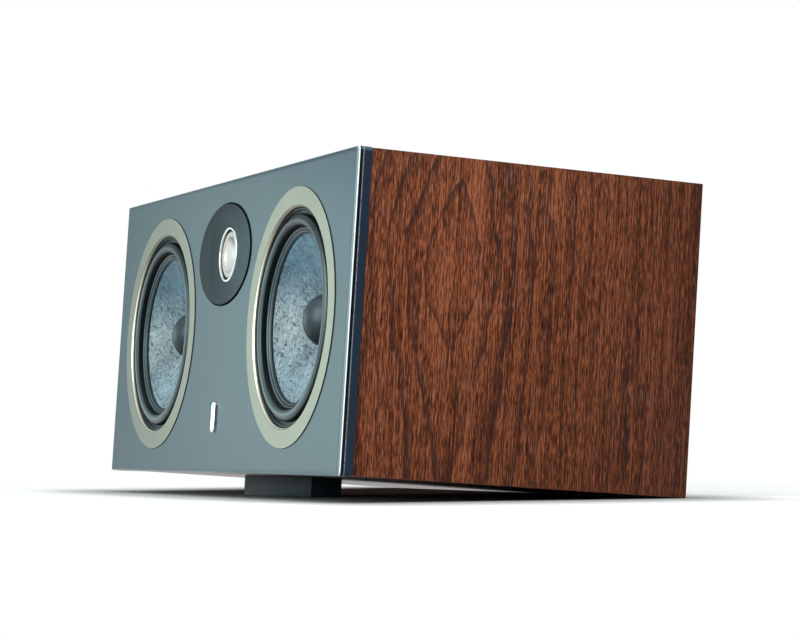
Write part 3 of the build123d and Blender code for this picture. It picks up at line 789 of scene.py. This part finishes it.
def roll_finish(look):
    """Rubber of the rolls: painted light on the crest, painted shade on the flanks and flange, and
    painted highlights on the fine ridges of the lip and on the steps of the flange.
    """
    f = Finish("roll_rubber")
    grain = f.noise(1100.0, 3.0, 0.6)
    # Mottle that varies the painted light on the crest
    bloom = f.span(f.noise(30.0, 3.0), 0.35, 0.7)
    _, height, radius = f.driver_plan(woofer_frame("right"), True)
    # Painted light on the crest of the roll, weaker toward the top
    crest = f.times(f.zone(radius, 0.0630, 0.0680, 0.0010), f.span(height, 0.030, 0.060, 1.0, 0.35))
    # Painted shade: all but the lip is darkened, so the flanks and the flange go near black
    lip = f.fall(radius, 0.0609, 0.0612)
    # Painted highlights: light lines on the two fine ridges of the lip and on the two steps of the
    # flange
    ridge = f.add(f.zone(radius, 0.0580, 0.0584, 0.0003), f.zone(radius, 0.0599, 0.0603, 0.0003))
    step = f.add(f.zone(radius, 0.0710, 0.0712, 0.0001), f.zone(radius, 0.0727, 0.0729, 0.0001))
    tone = f.layers(
        f.shift(lip, look.rubber, 0.30, 0.9),
        (crest, f.shift(bloom, look.rubber, 2.2, 3.4)),
        (ridge, tinted(look.rubber, 6.0)),
        (step, tinted(look.rubber, 3.5)),
    )
    sheen = f.most(crest, f.times(f.most(ridge, step), 0.8))
    sheen = f.between(f.most(sheen, f.times(lip, 0.35)), 0.06, 0.75)
    sheen = {"Specular_IOR_Level": sheen, "Specular_Tint": RUBBER_SHEEN}
    return f.grained(tone, grain, (0.32, 0.44), (0.15, 0.00008), **sheen)


def cap_finish(look):
    """Soft rubber of the dust caps, with painted light above and painted shade below."""
    f = Finish("cap_rubber")
    grain = f.noise(1500.0, 3.0, 0.6)
    # Painted light and shade: the caps are lighter and glossier above, darker below
    bloom = f.span(f.driver_plan(woofer_frame("right"), True)[1], -0.015, 0.001)
    tone = f.shift(bloom, look.cap, 0.35, 2.1)
    sheen = {"Specular_IOR_Level": f.between(bloom, 0.15, 0.5), "Specular_Tint": RUBBER_SHEEN}
    return f.grained(tone, grain, (0.36, 0.50), (0.18, 0.00008), **sheen)


def slate_finish(look):
    """Pressed fibre sheet: a pale slate ground with dark flecks; painted shade makes it darker and
    bluer toward the top, and a painted cool tint lies toward the bottom.
    """
    f = Finish("slate_fibre")
    height = f.driver_plan(woofer_frame("right"), True)[1]
    wash = f.noise(40.0, 3.0, place=f.where(LEANING))
    mottle = f.noise(420.0, 4.0, 0.7, place=f.where(LEANING))

    def strands(turn, cross, run, detail=2.0):
        place = f.where((LEAN, math.radians(turn), 0), (cross, 60, run))
        return f.noise(1.0, detail, 0.6, place=place)

    tone = f.ramp(
        f.add(f.times(mottle, 0.6), f.times(wash, 0.4)),
        (0.36, tinted(look.slate, 0.38)),
        (0.46, tinted(look.slate, 0.74)),
        (0.54, look.slate),
        (0.66, look.slate_light),
    )
    for turn, cross, run in ((38, 560, 150), (-34, 620, 170), (74, 520, 140), (8, 640, 160)):
        strand = strands(turn, cross, run)
        tone = f.mix(f.fall(strand, 0.33, 0.39, 0.9), tone, look.slate_dark)
        tone = f.mix(f.span(strand, 0.66, 0.72, 0.0, 0.6), tone, look.slate_light)
    # Painted shade: darker and bluer toward the top, where the cone faces down
    painted_shade_top = f.mix(1.0, tone, (0.28, 0.50, 0.64), "MULTIPLY")
    tone = f.mix(f.span(height, 0.002, 0.036), tone, painted_shade_top)
    # Painted light: a cooler tint toward the bottom, where the cone faces the light from above
    low = f.mix(1.0, tone, (0.84, 0.95, 1.03), "MULTIPLY")
    tone = f.mix(f.fall(height, -0.040, -0.008), tone, low)
    fleck = strands(50, 620, 260, 3.0)
    return f.grained(tone, fleck, (0.40, 0.6), (0.35, 0.0002), Specular_IOR_Level=0.4)


def fibre_finish(name, tone):
    """One tone of loose fibre in the face of the cone."""
    f = Finish(name)
    tone = f.shift(f.noise(420.0), tone, 0.7, 1.25)
    return f.shade(Base_Color=tone, Roughness=0.45, Specular_IOR_Level=0.6)


def plastic_finish(name, tone, rough, scale=900.0, relief=0.2, gloss=0.5):
    """Moulded plastic with a spark-eroded grain."""
    f = Finish(name)
    grain = f.noise(scale, 3.0, 0.55)
    tone = f.shift(f.even(f.noise(12.0)), tone, 0.88, 1.12)
    rough = rough - 0.06, rough + 0.08
    return f.grained(tone, grain, rough, (relief, 0.00006), Specular_IOR_Level=gloss)


def metal_finish(name, tone, rough, scale=700.0, relief=0.05):
    """Bare or plated metal with faint handling marks."""
    f = Finish(name)
    mark = f.noise(scale, 3.0, 0.6)
    tone = f.shift(f.even(f.noise(45.0)), tone, 0.93, 1.03)
    rough = max(rough - 0.04, 0.03), rough + 0.06
    return f.grained(tone, mark, rough, (relief, 0.00003), Metallic=1.0)


def cross_finish(name, tone, node, head):
    """Screw steel with a cross recess in each of the four heads of a node, drawn as painted shade.
    """
    f = Finish(name)
    places = [SET_UPRIGHT @ vertex.co for vertex in frame["nodes"][node].data.vertices]
    here = f.axes(LEANING)
    off = []
    for axis in (0, 2):
        low, high = min(p[axis] for p in places), max(p[axis] for p in places)
        off.append(f.off(f.off(here[axis], (low + high) / 2), (high - low) / 2 - head))

    half_slot, half_cross, soft = 0.4 * MM, 1.5 * MM, 0.1 * MM

    def slot(across, along):
        wide = f.fall(across, half_slot, half_slot + soft)
        return f.times(wide, f.fall(along, half_cross, half_cross + 2 * soft))

    # Painted shade: the cross is dark, rough and not metallic, in place of the hollow of a recess
    cross = f.most(slot(off[0], off[1]), slot(off[1], off[0]))
    return f.shade(
        Base_Color=f.mix(cross, tone, tinted(tone, 0.08)),
        Metallic=f.between(cross, 1.0, 0.0),
        Roughness=f.between(cross, 0.35, 0.9),
        Specular_IOR_Level=f.between(cross, 0.5, 0.05),
    )


def stipple_finish(look):
    """Soft silver ring with a pebbled face and near-black painted shade in the groove at its outer
    edge.
    """
    f = Finish("pebbled_silver")
    pebble = f.cells(1300.0)
    # Painted shade: the groove beside the bezel is near black and barely glossy
    groove_shade = f.span(f.driver_plan(tweeter_frame())[2], 0.0164, 0.0168)
    tone = f.shift(f.span(pebble, 0.15, 0.55), look.bright, 0.75, 0.38)
    return f.shade(
        Base_Color=f.mix(groove_shade, tone, tinted(look.bright, 0.01)),
        Metallic=f.between(groove_shade, 0.25, 0.0),
        Roughness=0.45,
        Specular_IOR_Level=f.between(groove_shade, 0.5, 0.03),
        Normal=f.relief(pebble, 0.7, 0.0002),
    )


def bowl_finish(look):
    """Satin alloy of the inverted dome, darker toward its right and top as painted shade."""
    f = Finish("dome_alloy")
    spun = f.noise(1100.0, 3.0, 0.6)
    side, height, _ = f.driver_plan(tweeter_frame())
    # Painted shade: the dome darkens toward its right and top
    painted_shade = f.span(f.add(side, f.times(height, 0.4)), -0.004, 0.008)
    tone = f.shift(painted_shade, look.bright, 0.66, 0.09)
    return f.grained(tone, spun, (0.38, 0.46), (0.05, 0.00003), Metallic=0.6)


def plate_finish(look, half_width, half_height):
    """Dark moulded plate with painted light toward its right, painted shade toward its top and on
    the left of its flat rim, and near-black painted shade on its thin edge.
    """
    f = Finish("plate_plastic")
    grain = f.noise(1500.0, 3.0, 0.55)
    side, height, radius = f.driver_plan(tweeter_frame())
    across = f.calc("DIVIDE", side, half_width)
    along = f.calc("DIVIDE", height, half_height)
    # Painted shade: the thin edge ring is near black and barely glossy
    edge = f.span(f.squares(across, along), 0.962, 0.975)
    # Painted shade on the left of the flat rim, which dims its sheen there
    flat = f.times(f.span(radius, 0.028, 0.036), f.fall(across, 0.2, 0.5))
    # Painted light toward the right, painted shade toward the top
    tone = f.layers(
        f.shift(f.span(across, -0.7, 0.8), look.plate, 0.74, 1.38),
        (f.span(along, 0.2, 0.9, 0.0, 0.46), tinted(look.plate, 0.3)),
        (f.times(flat, 0.4), tinted(look.plate, 0.2)),
        (edge, tinted(look.plate, 0.06)),
    )
    gloss = f.between(edge, 0.06, 0.01)
    return f.grained(tone, grain, (0.44, 0.58), (0.12, 0.00006), Specular_IOR_Level=gloss)


def board_finish(name, tone, rough, scale=380.0):
    """Pressed board or paper foil with a fleck."""
    f = Finish(name)
    fleck = f.noise(scale, 5.0, 0.7)
    return f.shade(
        Base_Color=f.shift(f.even(fleck), tone, 0.7, 1.35),
        Roughness=f.even(fleck, rough - 0.08, rough + 0.1),
        Normal=f.relief(f.cells(scale * 0.6), 0.12, 0.0001),
    )


def cloth_finish(name, tone):
    """Loose wadding or resin-dipped cloth."""
    f = Finish(name)
    tuft = f.noise(160.0, 6.0, 0.7, 0.6)
    return f.shade(
        Base_Color=f.shift(f.even(tuft), tone, 0.6, 1.2),
        Roughness=0.9,
        Normal=f.relief(tuft, 0.6, 0.0012),
    )


# Operators


class SPEAKER_OT_cabinet(bpy.types.Operator):
    """Veneer the four boards and finish the rear board"""

    bl_idname = "speaker.cabinet"
    bl_label = "Cabinet"

    def execute(self, context):
        sizes = context.scene.speaker_cabinet
        look = context.scene.speaker_finish
        for node, name, upright, eye, seed, *gloss in (
            ("right_side_panel", "walnut_right", True, (0.148, -0.060), 3.1),
            ("left_side_panel", "walnut_left", True, (0.080, 0.050), 9.4),
            ("top_panel", "walnut_level", False, (-0.120, 0.010), 5.7),
            ("bottom_panel", "walnut_under", False, (0.090, -0.030), 2.3, 0.5),
        ):
            wood = veneer_finish(name, look, upright, eye, seed, *gloss)
            board = sanded(node, f"{node}_veneered", sizes.board_round)
            stands_for(board, "cabinet", wood, "walnut_veneer", node)
        dress(board_finish("black_foil", look.black, 0.5), "black_board", "rear_panel")
        return {"FINISHED"}


class SPEAKER_OT_front(bpy.types.Operator):
    """Build the painted front with its rounded edge and the recesses for the drivers"""

    bl_idname = "speaker.front"
    bl_label = "Painted front"

    def execute(self, context):
        sizes = context.scene.speaker_cabinet
        woofer = context.scene.speaker_woofer
        tweeter = context.scene.speaker_tweeter
        place = front_frame()
        home = place.inverted()
        half = sizes.width / 2, sizes.height / 2
        back = -sizes.flange
        end = back - sizes.tongue
        inner = sizes.carcass_inset
        edge = [(sizes.margin, 0), (0, 0, sizes.face_round), (0, back, sizes.board_round)]
        edge = rounded(edge + [(inner, back), (inner, end)], closed=False, steps=12)
        bm = bmesh.new()
        outside = []
        for inset, level in edge:
            drop = inset if inset > sizes.face_round else 0.25 * inset
            outside.append(loop_of(bm, frame_path(*half, sizes.corner, inset, drop), level))
        walls(bm, outside)
        holes = []
        shelf = -woofer.rebate_depth
        bore = [(woofer.rebate, 0), (woofer.rebate, shelf)]
        bore += [(woofer.hole, shelf), (woofer.hole, end)]
        for side in SIDES:
            middle = home @ woofer_frame(side).translation
            rows = [loop_of(bm, oval(middle, radius, radius), level) for radius, level in bore]
            walls(bm, rows)
            holes.append(rows)
        middle = home @ tweeter_frame().translation
        floor = -tweeter.recess
        wide, tall = tweeter.half_width + tweeter.gap, tweeter.half_height + tweeter.gap
        lip = rounded([(0.0008, 0), (0, 0, 0.00035), (0, floor)], closed=False, steps=4)
        rows = [loop_of(bm, oval(middle, wide + out, tall + out), level) for out, level in lip]
        for level in (floor, end):
            rows.append(loop_of(bm, oval(middle, tweeter.boss, tweeter.boss), level))
        walls(bm, rows)
        holes.append(rows)
        fill_between(bm, outside[0], *(rows[0] for rows in holes))
        fill_between(bm, outside[-1], *(rows[-1] for rows in holes))
        board = piece("painted_front", bm, place)
        upright = SET_UPRIGHT @ place.translation
        paint = paint_finish(context.scene.speaker_finish, upright.y, upright.z, half[1])
        stands_for(board, "cabinet", paint, "baffle_paint", "front_baffle")
        return {"FINISHED"}


class SPEAKER_OT_trim(bpy.types.Operator):
    """Turn the champagne rings round the woofers"""

    bl_idname = "speaker.trim"
    bl_label = "Trim rings"

    def execute(self, context):
        metal = ring_finish(context.scene.speaker_finish)
        inner, seat, outer, face = 74.0, 82.5, 88.0, -0.6
        bevel = [(inner, 2.0), (inner, 1.2, 0.15)]
        bevel += [(inner + 0.25, 0.65, 0.15), (inner + 1.5, face, 0.45)]
        rim = [(outer, face, 0.25), (outer, 0.0), (seat, 0.0), (seat, 2.0)]
        outline = rounded(bevel + rim)
        for side in SIDES:
            ring = turned(f"{side}_trim", outline, woofer_frame(side), 256)
            stands_for(ring, "cabinet", metal, "ring_satin", f"{side}_trim_ring")
        return {"FINISHED"}


class SPEAKER_OT_rolls(bpy.types.Operator):
    """Mould the rubber rolls as an outer half that stays still and an inner half"""

    bl_idname = "speaker.rolls"
    bl_label = "Rubber rolls"

    def execute(self, context):
        sizes = context.scene.speaker_woofer
        rubber = roll_finish(context.scene.speaker_finish)
        crest = sizes.roll_middle / MM
        rise = sizes.roll_rise / MM
        ridge = sizes.ridge / MM
        flange, wall, half = 4.3, 0.9, 4.3
        edge, lip, slope = 56.6, 7.2, 0.5

        def arc(inset, first, last, steps=16):
            angles = [math.radians(first + (last - first) * i / steps) for i in range(steps + 1)]
            wide, high = half - inset, rise - inset
            return [
                (crest + wide * math.cos(a), flange + 0.02 - high * math.sin(a)) for a in angles
            ]

        def on_lip(r, depth=0.0):
            return r, lip - slope * (r - edge) + depth

        def ridges(*places):
            line = []
            for r in places:
                line += [on_lip(r + 0.6), on_lip(r + 0.25, -ridge)]
                line += [on_lip(r - 0.25, -ridge), on_lip(r - 0.6)]
            return line

        outer = [(73.4, flange + wall), (73.4, 2.2), (72.8, 2.2), (72.7, 2.9), (72.0, 2.9)]
        outer += [(71.9, 3.6), (71.1, 3.6), (71.0, flange)]
        outer += [*arc(0, 0, 90), *arc(wall, 90, 0), (68.9, flange + wall)]
        inner = [*arc(0, 90, 180), *ridges(60.1, 58.2), on_lip(edge + 0.25)]
        inner += [(edge + 0.25, lip + wall), on_lip(62.1, wall), *arc(wall, 180, 90)]
        for side in SIDES:
            place = woofer_frame(side)
            held = turned(f"{side}_roll_outer", outer, place, 224, sharp=50)
            stands_for(held, "cabinet", rubber, "surround_rubber", f"{side}_surround")
            moved = turned(f"{side}_roll_inner", inner, place, 224, sharp=50)
            moved.data.materials.append(rubber)
            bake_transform(moved)
        return {"FINISHED"}


class SPEAKER_OT_cones(bpy.types.Operator):
    """Press the fibre cones, scatter their strands and set the dust caps"""

    bl_idname = "speaker.cones"
    bl_label = "Cones and dust caps"

    def execute(self, context):
        sizes = context.scene.speaker_woofer
        look = context.scene.speaker_finish
        sheet = slate_finish(look)
        soft = cap_finish(look)
        # Label, finish, share of the fibres, share of their width, lay, spread, shift of the seed
        tones = (
            ("dark", fibre_finish("dark_fibre", look.slate_dark), 0.8, 1.0, 0.2, 1.4, 0),
            ("light", fibre_finish("light_fibre", look.slate_light), 0.2, 0.6, -0.5, 1.2, 1),
        )
        tree = fibre_tree()
        edge, neck = (56.6, 8.3), (16.6, 28.3)
        slope = [tuple(a + (b - a) * i / 12 for a, b in zip(edge, neck)) for i in range(13)]
        outline = [(61.5, 7.15), (61.5, 5.85), *slope, (16.6, 29.6)]
        base, rise, wide = 27.15, 17.0, 18.5
        dome = [(radius, base - rise + drop) for radius, drop in cup(wide, rise, 28)]
        bead = [(18.9, 26.75), (19.3, 26.87), (19.0, 27.08)]
        cap = dome[:-1] + [(wide, 26.58), *bead, (18.0, base), (17.7, 26.38)]
        for side in SIDES:
            place = woofer_frame(side)
            body = f"{side}_cone_assembly"
            cone = turned(f"{side}_fibre_cone", outline, place, 192)
            stands_for(cone, body, sheet, "cone_fibre", f"{side}_cone")
            face = turned(f"{side}_face", slope[1:12], None, 96, closed=False)
            for label, finish, part, slim, lay, spread, shift in tones:
                values = {
                    "Density": sizes.fibres * part,
                    "Length": sizes.fibre_length,
                    "Width": sizes.fibre_width * slim,
                    "Lift": 0.05 * MM,
                    "Lay": lay,
                    "Spread": spread,
                    "Seed": sizes.seed + shift + (10 if side == "left" else 0),
                    "Finish": finish,
                }
                strands = grown(f"{side}_{label}_fibres", face.data, tree, values, place)
                stands_for(strands, body, None, "cone_fibre")
            bpy.data.objects.remove(face)
            dust = turned(f"{side}_cap", cap, place, 128, sharp=50)
            stands_for(dust, body, soft, "cap_rubber", f"{side}_dust_cap")
        return {"FINISHED"}


class SPEAKER_OT_spiders(bpy.types.Operator):
    """Mould the corrugated discs that centre the coils, as a seat and sections reaching from the
    seat to the coil
    """

    bl_idname = "speaker.spiders"
    bl_label = "Spiders"

    def execute(self, context):
        cloth = cloth_finish("spider_cloth", (0.42, 0.30, 0.11))
        rim, shelf, neck = 46.4, 40.1, 16.6
        front, wall, wave = 30.8, 0.7, 1.6
        bends, sections = 6, 8
        pitch = (shelf - neck) / (bends + 1)
        crests = [
            (shelf - step * pitch, front - wave * (step % 2), 1.0) for step in range(1, bends + 1)
        ]
        line = [(shelf, front), *crests, (neck, front)]
        under = [(corner[0], corner[1] + wall, *corner[2:]) for corner in reversed(line)]
        outline = rounded(line + under, steps=4)
        seat = [(shelf, front), (rim, front), (rim, front + wall), (shelf, front + wall)]
        half = math.pi / sections
        for side in SIDES:
            place = woofer_frame(side)
            held = turned(f"{side}_spider_seat", seat, place, 128)
            stands_for(held, "cabinet", cloth, "spider_cloth", f"{side}_spider")
            for step in range(sections):
                angle = (2 * step + 1) * half
                name = f"{side}_spider_section_{step + 1}"
                moved = section(name, outline, place, angle - half, angle + half)
                moved.data.materials.append(cloth)
                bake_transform(moved)
        return {"FINISHED"}


class SPEAKER_OT_tweeter(bpy.types.Operator):
    """Form the tweeter's plate, bezel, suspension and inverted dome"""

    bl_idname = "speaker.tweeter"
    bl_label = "Tweeter"

    def execute(self, context):
        sizes = context.scene.speaker_tweeter
        look = context.scene.speaker_finish
        place = tweeter_frame()
        wide, tall = sizes.half_width / MM, sizes.half_height / MM
        mouth, boss, face, back, foot = 20.3, 33.4, -1.0, 3.0, 8.5
        profile = [(tall, back), (tall, face, 0.5), (33.0, face, 6.0), (mouth, 2.0, 0.3)]
        profile += [(mouth, foot), (boss, foot), (boss, back)]
        outline = []
        for r, d in rounded(profile, steps=8):
            out = max(0.0, min(1.0, (r - boss) / (tall - boss)))
            outline.append((r + (wide - tall) * out, r, d))
        plate = turned("tweeter_plate", outline, place, 256)
        plastic = plate_finish(look, sizes.half_width, sizes.half_height)
        stands_for(plate, "cabinet", plastic, "plate_plastic", "tweeter_faceplate")

        ring = [(17.9, 4.2), (17.9, 1.6, 0.7), (20.0, 1.6, 0.7)]
        ring += [(20.0, foot), (15.5, foot), (15.5, 4.2)]
        bezel = turned("tweeter_ring", rounded(ring, steps=8), place, 160)
        metal = metal_finish("bezel_metal", tinted(look.bright, 0.7), 0.2)
        stands_for(bezel, "cabinet", metal, "bezel_metal", "tweeter_bezel")

        over = [(17.7, 3.4), (16.4, 3.4, 0.6), (15.4, 2.7, 0.8), (13.8, 2.7, 0.8), (12.7, 3.4)]
        under = [(r, d + 0.8) for r, d, *_ in reversed(over)]
        soft = turned("tweeter_edge", rounded(over + under), place, 160)
        stands_for(soft, "cabinet", stipple_finish(look), "suspension_mesh", "tweeter_suspension")

        bowl = [(radius, 7.6 - rise) for radius, rise in cup(12.5, 4.2, 24)]
        under = [(r, d + 0.5) for r, d in reversed(bowl)]
        dome = turned("tweeter_bowl", bowl + under, place, 128, closed=False)
        stands_for(dome, "tweeter_diaphragm", bowl_finish(look), "dome_alloy", "tweeter_dome")
        return {"FINISHED"}


class SPEAKER_OT_small(bpy.types.Operator):
    """Finish the foot bar and the plain badge"""

    bl_idname = "speaker.small"
    bl_label = "Foot and badge"

    def execute(self, context):
        look = context.scene.speaker_finish
        foot = sanded("front_foot", "foot_bar", context.scene.speaker_cabinet.foot_round)
        plastic = plastic_finish("foot_plastic", look.foot, 0.5, gloss=0.1)
        stands_for(foot, "cabinet", plastic, "foot_plastic", "front_foot")
        dress(metal_finish("badge_metal", look.bright, 0.12), "polished_metal", "badge")
        return {"FINISHED"}


class SPEAKER_OT_rear(bpy.types.Operator):
    """Finish the port, the terminal cup, its posts, caps and screws"""

    bl_idname = "speaker.rear"
    bl_label = "Rear fittings"

    def execute(self, context):
        look = context.scene.speaker_finish
        black = plastic_finish("rear_plastic", look.black, 0.42, 800.0, 0.35)
        dress(black, "black_plastic", "port_tube", "terminal_cup")
        dress(metal_finish("post_plating", look.gold, 0.18), "post_metal", "red_post", "black_post")
        dress(metal_finish("nut_plating", look.gold, 0.26), "post_metal", "post_nuts")
        dress(plastic_finish("red_cap_plastic", look.red, 0.25), "red_plastic", "red_cap")
        dress(plastic_finish("black_cap_plastic", look.black, 0.25), "black_plastic", "black_cap")
        steel = metal_finish("screw_steel", SCREW_STEEL, 0.35)
        dress(steel, "screw_steel", "left_screws", "right_screws")
        cross = cross_finish("cross_head_steel", SCREW_STEEL, "terminal_screws", 2.8 * MM)
        dress(cross, "screw_steel", "terminal_screws")
        return {"FINISHED"}


class SPEAKER_OT_inside(bpy.types.Operator):
    """Finish what the cabinet holds inside"""

    bl_idname = "speaker.inside"
    bl_label = "Inside"

    def execute(self, context):
        look = context.scene.speaker_finish
        raw = board_finish("raw_board", (0.34, 0.23, 0.13), 0.8)
        wadding = cloth_finish("wadding", (0.62, 0.62, 0.58))
        casting = metal_finish("black_casting", (0.03, 0.031, 0.033), 0.5, 500.0, 0.3)
        plated = metal_finish("plated_steel", (0.55, 0.54, 0.48), 0.32)
        ferrite = plastic_finish("ferrite", (0.035, 0.034, 0.034), 0.6, 600.0, 0.4)
        copper = metal_finish("coil_copper", (0.72, 0.31, 0.13), 0.3, 2400.0, 0.5)
        foam = rubber_finish("foam_rubber", look.rubber, 0.7, 600.0)
        inner = plastic_finish("inner_plastic", look.black, 0.5)
        laminate = board_finish("board_laminate", (0.05, 0.16, 0.06), 0.45)
        film = plastic_finish("capacitor_film", (0.38, 0.20, 0.02), 0.35)
        cement = board_finish("resistor_cement", (0.70, 0.68, 0.62), 0.75)
        for side in SIDES:
            dress(raw, "raw_board", f"{side}_brace")
            dress(wadding, "wadding", f"{side}_damping_pad")
            dress(casting, "black_casting", f"{side}_basket")
            dress(foam, "foam_rubber", f"{side}_gasket")
        for driver in (*SIDES, "tweeter"):
            dress(copper, "coil_copper", f"{driver}_voice_coil")
            dress(plated, "plated_steel", f"{driver}_top_plate", f"{driver}_yoke")
            dress(ferrite, "ferrite", f"{driver}_magnet")
        dress(inner, "black_plastic", "tweeter_rear_chamber", "crossover_spacers")
        dress(laminate, "board_laminate", "crossover_board")
        dress(copper, "coil_copper", "crossover_coils")
        dress(film, "capacitor_film", "crossover_capacitors")
        dress(cement, "resistor_ceramic", "crossover_resistors")
        return {"FINISHED"}


class SPEAKER_OT_stage(bpy.types.Operator):
    """Set the camera, the pale floor and the soft light"""

    bl_idname = "speaker.stage"
    bl_label = "Stage"

    def execute(self, context):
        scene = context.scene
        stage = scene.speaker_stage
        scene.view_settings.view_transform = "Standard"
        camera = bpy.data.objects.new("camera", bpy.data.cameras.new("camera"))
        scene.collection.objects.link(camera)
        camera.data.lens = stage.lens
        camera.data.sensor_width = 36
        sight = Vector(stage.sight).normalized()
        level = Vector(stage.level)
        level = (level - sight * level.dot(sight)).normalized()
        turn = Matrix((level, level.cross(sight), -sight)).transposed().to_4x4()
        camera.matrix_world = Matrix.Translation(stage.camera) @ turn
        camera.data.clip_start, camera.data.clip_end = 0.05, 60
        scene.camera = camera

        bm = bmesh.new()
        bmesh.ops.create_grid(bm, x_segments=1, y_segments=1, size=stage.floor / 2)
        floor = piece("floor", bm)
        floor.data.materials.append(self.pale_floor())

        # Place, target, size, power and tint
        lamps = {
            "left": ((-1.0, -0.75, 0.22), (0, 0, 0.1), (0.7, 0.44), stage.left_light, COOL),
            "front": ((0.5, -1.25, 0.65), (0.1, -0.1, 0.1), (0.9, 1.1), stage.front_light, WHITE),
            "side": ((2.2, 0.8, 2.6), (0.2, 0, 0.1), (1.6, 1.6), stage.side_light, WHITE),
            "top": ((0.0, 0.0, 2.6), (0, 0, 0), (3.0, 3.0), stage.top_light, WHITE),
        }
        for name, (place, target, size, energy, tint) in lamps.items():
            lamp = bpy.data.lights.new(f"{name}_softbox", "AREA")
            lamp.shape = "RECTANGLE"
            lamp.size, lamp.size_y = size
            lamp.energy = energy
            lamp.color = tint
            box = bpy.data.objects.new(f"{name}_softbox", lamp)
            box.location = place
            toward = Vector(target) - Vector(place)
            box.rotation_euler = toward.to_track_quat("-Z", "Y").to_euler()
            scene.collection.objects.link(box)
        self.room(scene, stage.room)
        return {"FINISHED"}

    def pale_floor(self):
        """Pale floor with a painted soft shadow round the speaker, plain white to the camera
        farther off.
        """
        f = Finish("pale_floor")
        seen = f.node("ShaderNodeLightPath", {}, "Is Camera Ray")
        mirror = f.node("ShaderNodeLightPath", {}, "Is Glossy Ray")
        x, y, _ = f.axes()
        # Painted shadow: teal grey round the cabinet's footprint, fading over the reach, faster
        # ahead and behind
        half_width, half_depth, squash, reach, depth = 0.255, 0.115, 2.4, 0.17, 0.78
        aside = f.most(f.less(f.off(x), half_width), 0.0)
        ahead = f.times(f.most(f.less(f.off(y), half_depth), 0.0), squash)
        shade = f.fall(f.calc("SQRT", f.squares(aside, ahead)), 0.0, reach, depth)
        tone = f.mix(f.noise(3.0), (0.66, 0.66, 0.66), (0.68, 0.68, 0.68))
        tone = f.mix(shade, tone, (0.05, 0.066, 0.066))
        tone = f.mix(seen, (0.5, 0.5, 0.5), tone)
        f.shade(Base_Color=tone, Roughness=0.8, Specular_IOR_Level=0.1)
        away = f.node("ShaderNodeVectorMath", {0: f.where()}, 1, operation="LENGTH")
        white = f.node("ShaderNodeEmission", {"Color": WHITE, "Strength": 1.0})
        # Painted reflection: to mirrored rays only, the floor glows on the left and ahead on the
        # right, for the paint and the metal to mirror
        left = f.fall(x, -0.06, 0.02, 0.8)
        right = f.times(f.span(x, 0.1, 0.25, 0.0, 0.7), f.fall(y, -0.5, -0.35))
        mirrored = f.times(mirror, f.add(left, right))
        bare = f.add(f.times(f.span(away, 0.33, 0.66), seen), mirrored)
        lit = f.node("ShaderNodeMixShader", {0: bare, 1: f.shader.outputs[0], 2: white})
        feed(f.tree, f.tree.nodes["Material Output"].inputs["Surface"], lit)
        return f.material

    def room(self, scene, level):
        """Soft light from all round, strongest above the front, before a white background."""
        world = bpy.data.worlds.new("room")
        world.use_nodes = True
        scene.world = world
        f = Nodes(world.node_tree)
        toward = f.node("ShaderNodeTexCoord", {}, "Generated")
        above = {0: toward, 1: (0.4, -0.6, 0.7)}
        facing = f.node("ShaderNodeVectorMath", above, "Value", operation="DOT_PRODUCT")
        aside = f.node("ShaderNodeSeparateXYZ", {0: toward}, "X")
        soft = f.span(facing, -0.7, 0.7, 0.4 * level, level)
        soft = f.times(soft, f.span(aside, 0.1, 0.8, 1.0, 0.3))
        seen = f.node("ShaderNodeLightPath", {}, "Is Camera Ray")
        back = f.tree.nodes["Background"].inputs
        feed(f.tree, back["Color"], f.mix(seen, (0.86, 1.0, 0.98), WHITE))
        feed(f.tree, back["Strength"], f.node("ShaderNodeMix", {0: seen, 2: soft, 3: 1.0}))


class SPEAKER_PT_sidebar(bpy.types.Panel):
    """Lists the speaker's pieces"""

    bl_idname = "SPEAKER_PT_sidebar"
    bl_label = "Center Channel Speaker"
    bl_space_type = "VIEW_3D"
    bl_region_type = "UI"
    bl_category = "Speaker"

    def draw(self, context):
        column = self.layout.column(align=True)
        for operator in OPERATORS:
            column.operator(operator.bl_idname)


GROUPS = {
    "speaker_cabinet": SPEAKER_PG_cabinet,
    "speaker_woofer": SPEAKER_PG_woofer,
    "speaker_tweeter": SPEAKER_PG_tweeter,
    "speaker_finish": SPEAKER_PG_finish,
    "speaker_stage": SPEAKER_PG_stage,
}
OPERATORS = (
    SPEAKER_OT_cabinet,
    SPEAKER_OT_front,
    SPEAKER_OT_trim,
    SPEAKER_OT_rolls,
    SPEAKER_OT_cones,
    SPEAKER_OT_spiders,
    SPEAKER_OT_tweeter,
    SPEAKER_OT_small,
    SPEAKER_OT_rear,
    SPEAKER_OT_inside,
    SPEAKER_OT_stage,
)


def register():
    for name, group in GROUPS.items():
        bpy.utils.register_class(group)
        setattr(bpy.types.Scene, name, PointerProperty(type=group))
    for operator in OPERATORS:
        bpy.utils.register_class(operator)
    bpy.utils.register_class(SPEAKER_PT_sidebar)


def unregister():
    bpy.utils.unregister_class(SPEAKER_PT_sidebar)
    for operator in reversed(OPERATORS):
        bpy.utils.unregister_class(operator)
    for name, group in reversed(GROUPS.items()):
        delattr(bpy.types.Scene, name)
        bpy.utils.unregister_class(group)


def main():
    """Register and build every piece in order."""
    register()
    bpy.ops.speaker.cabinet()
    bpy.ops.speaker.front()
    bpy.ops.speaker.trim()
    bpy.ops.speaker.rolls()
    bpy.ops.speaker.cones()
    bpy.ops.speaker.spiders()
    bpy.ops.speaker.tweeter()
    bpy.ops.speaker.small()
    bpy.ops.speaker.rear()
    bpy.ops.speaker.inside()
    bpy.ops.speaker.stage()


if __name__ == "__main__":
    main()
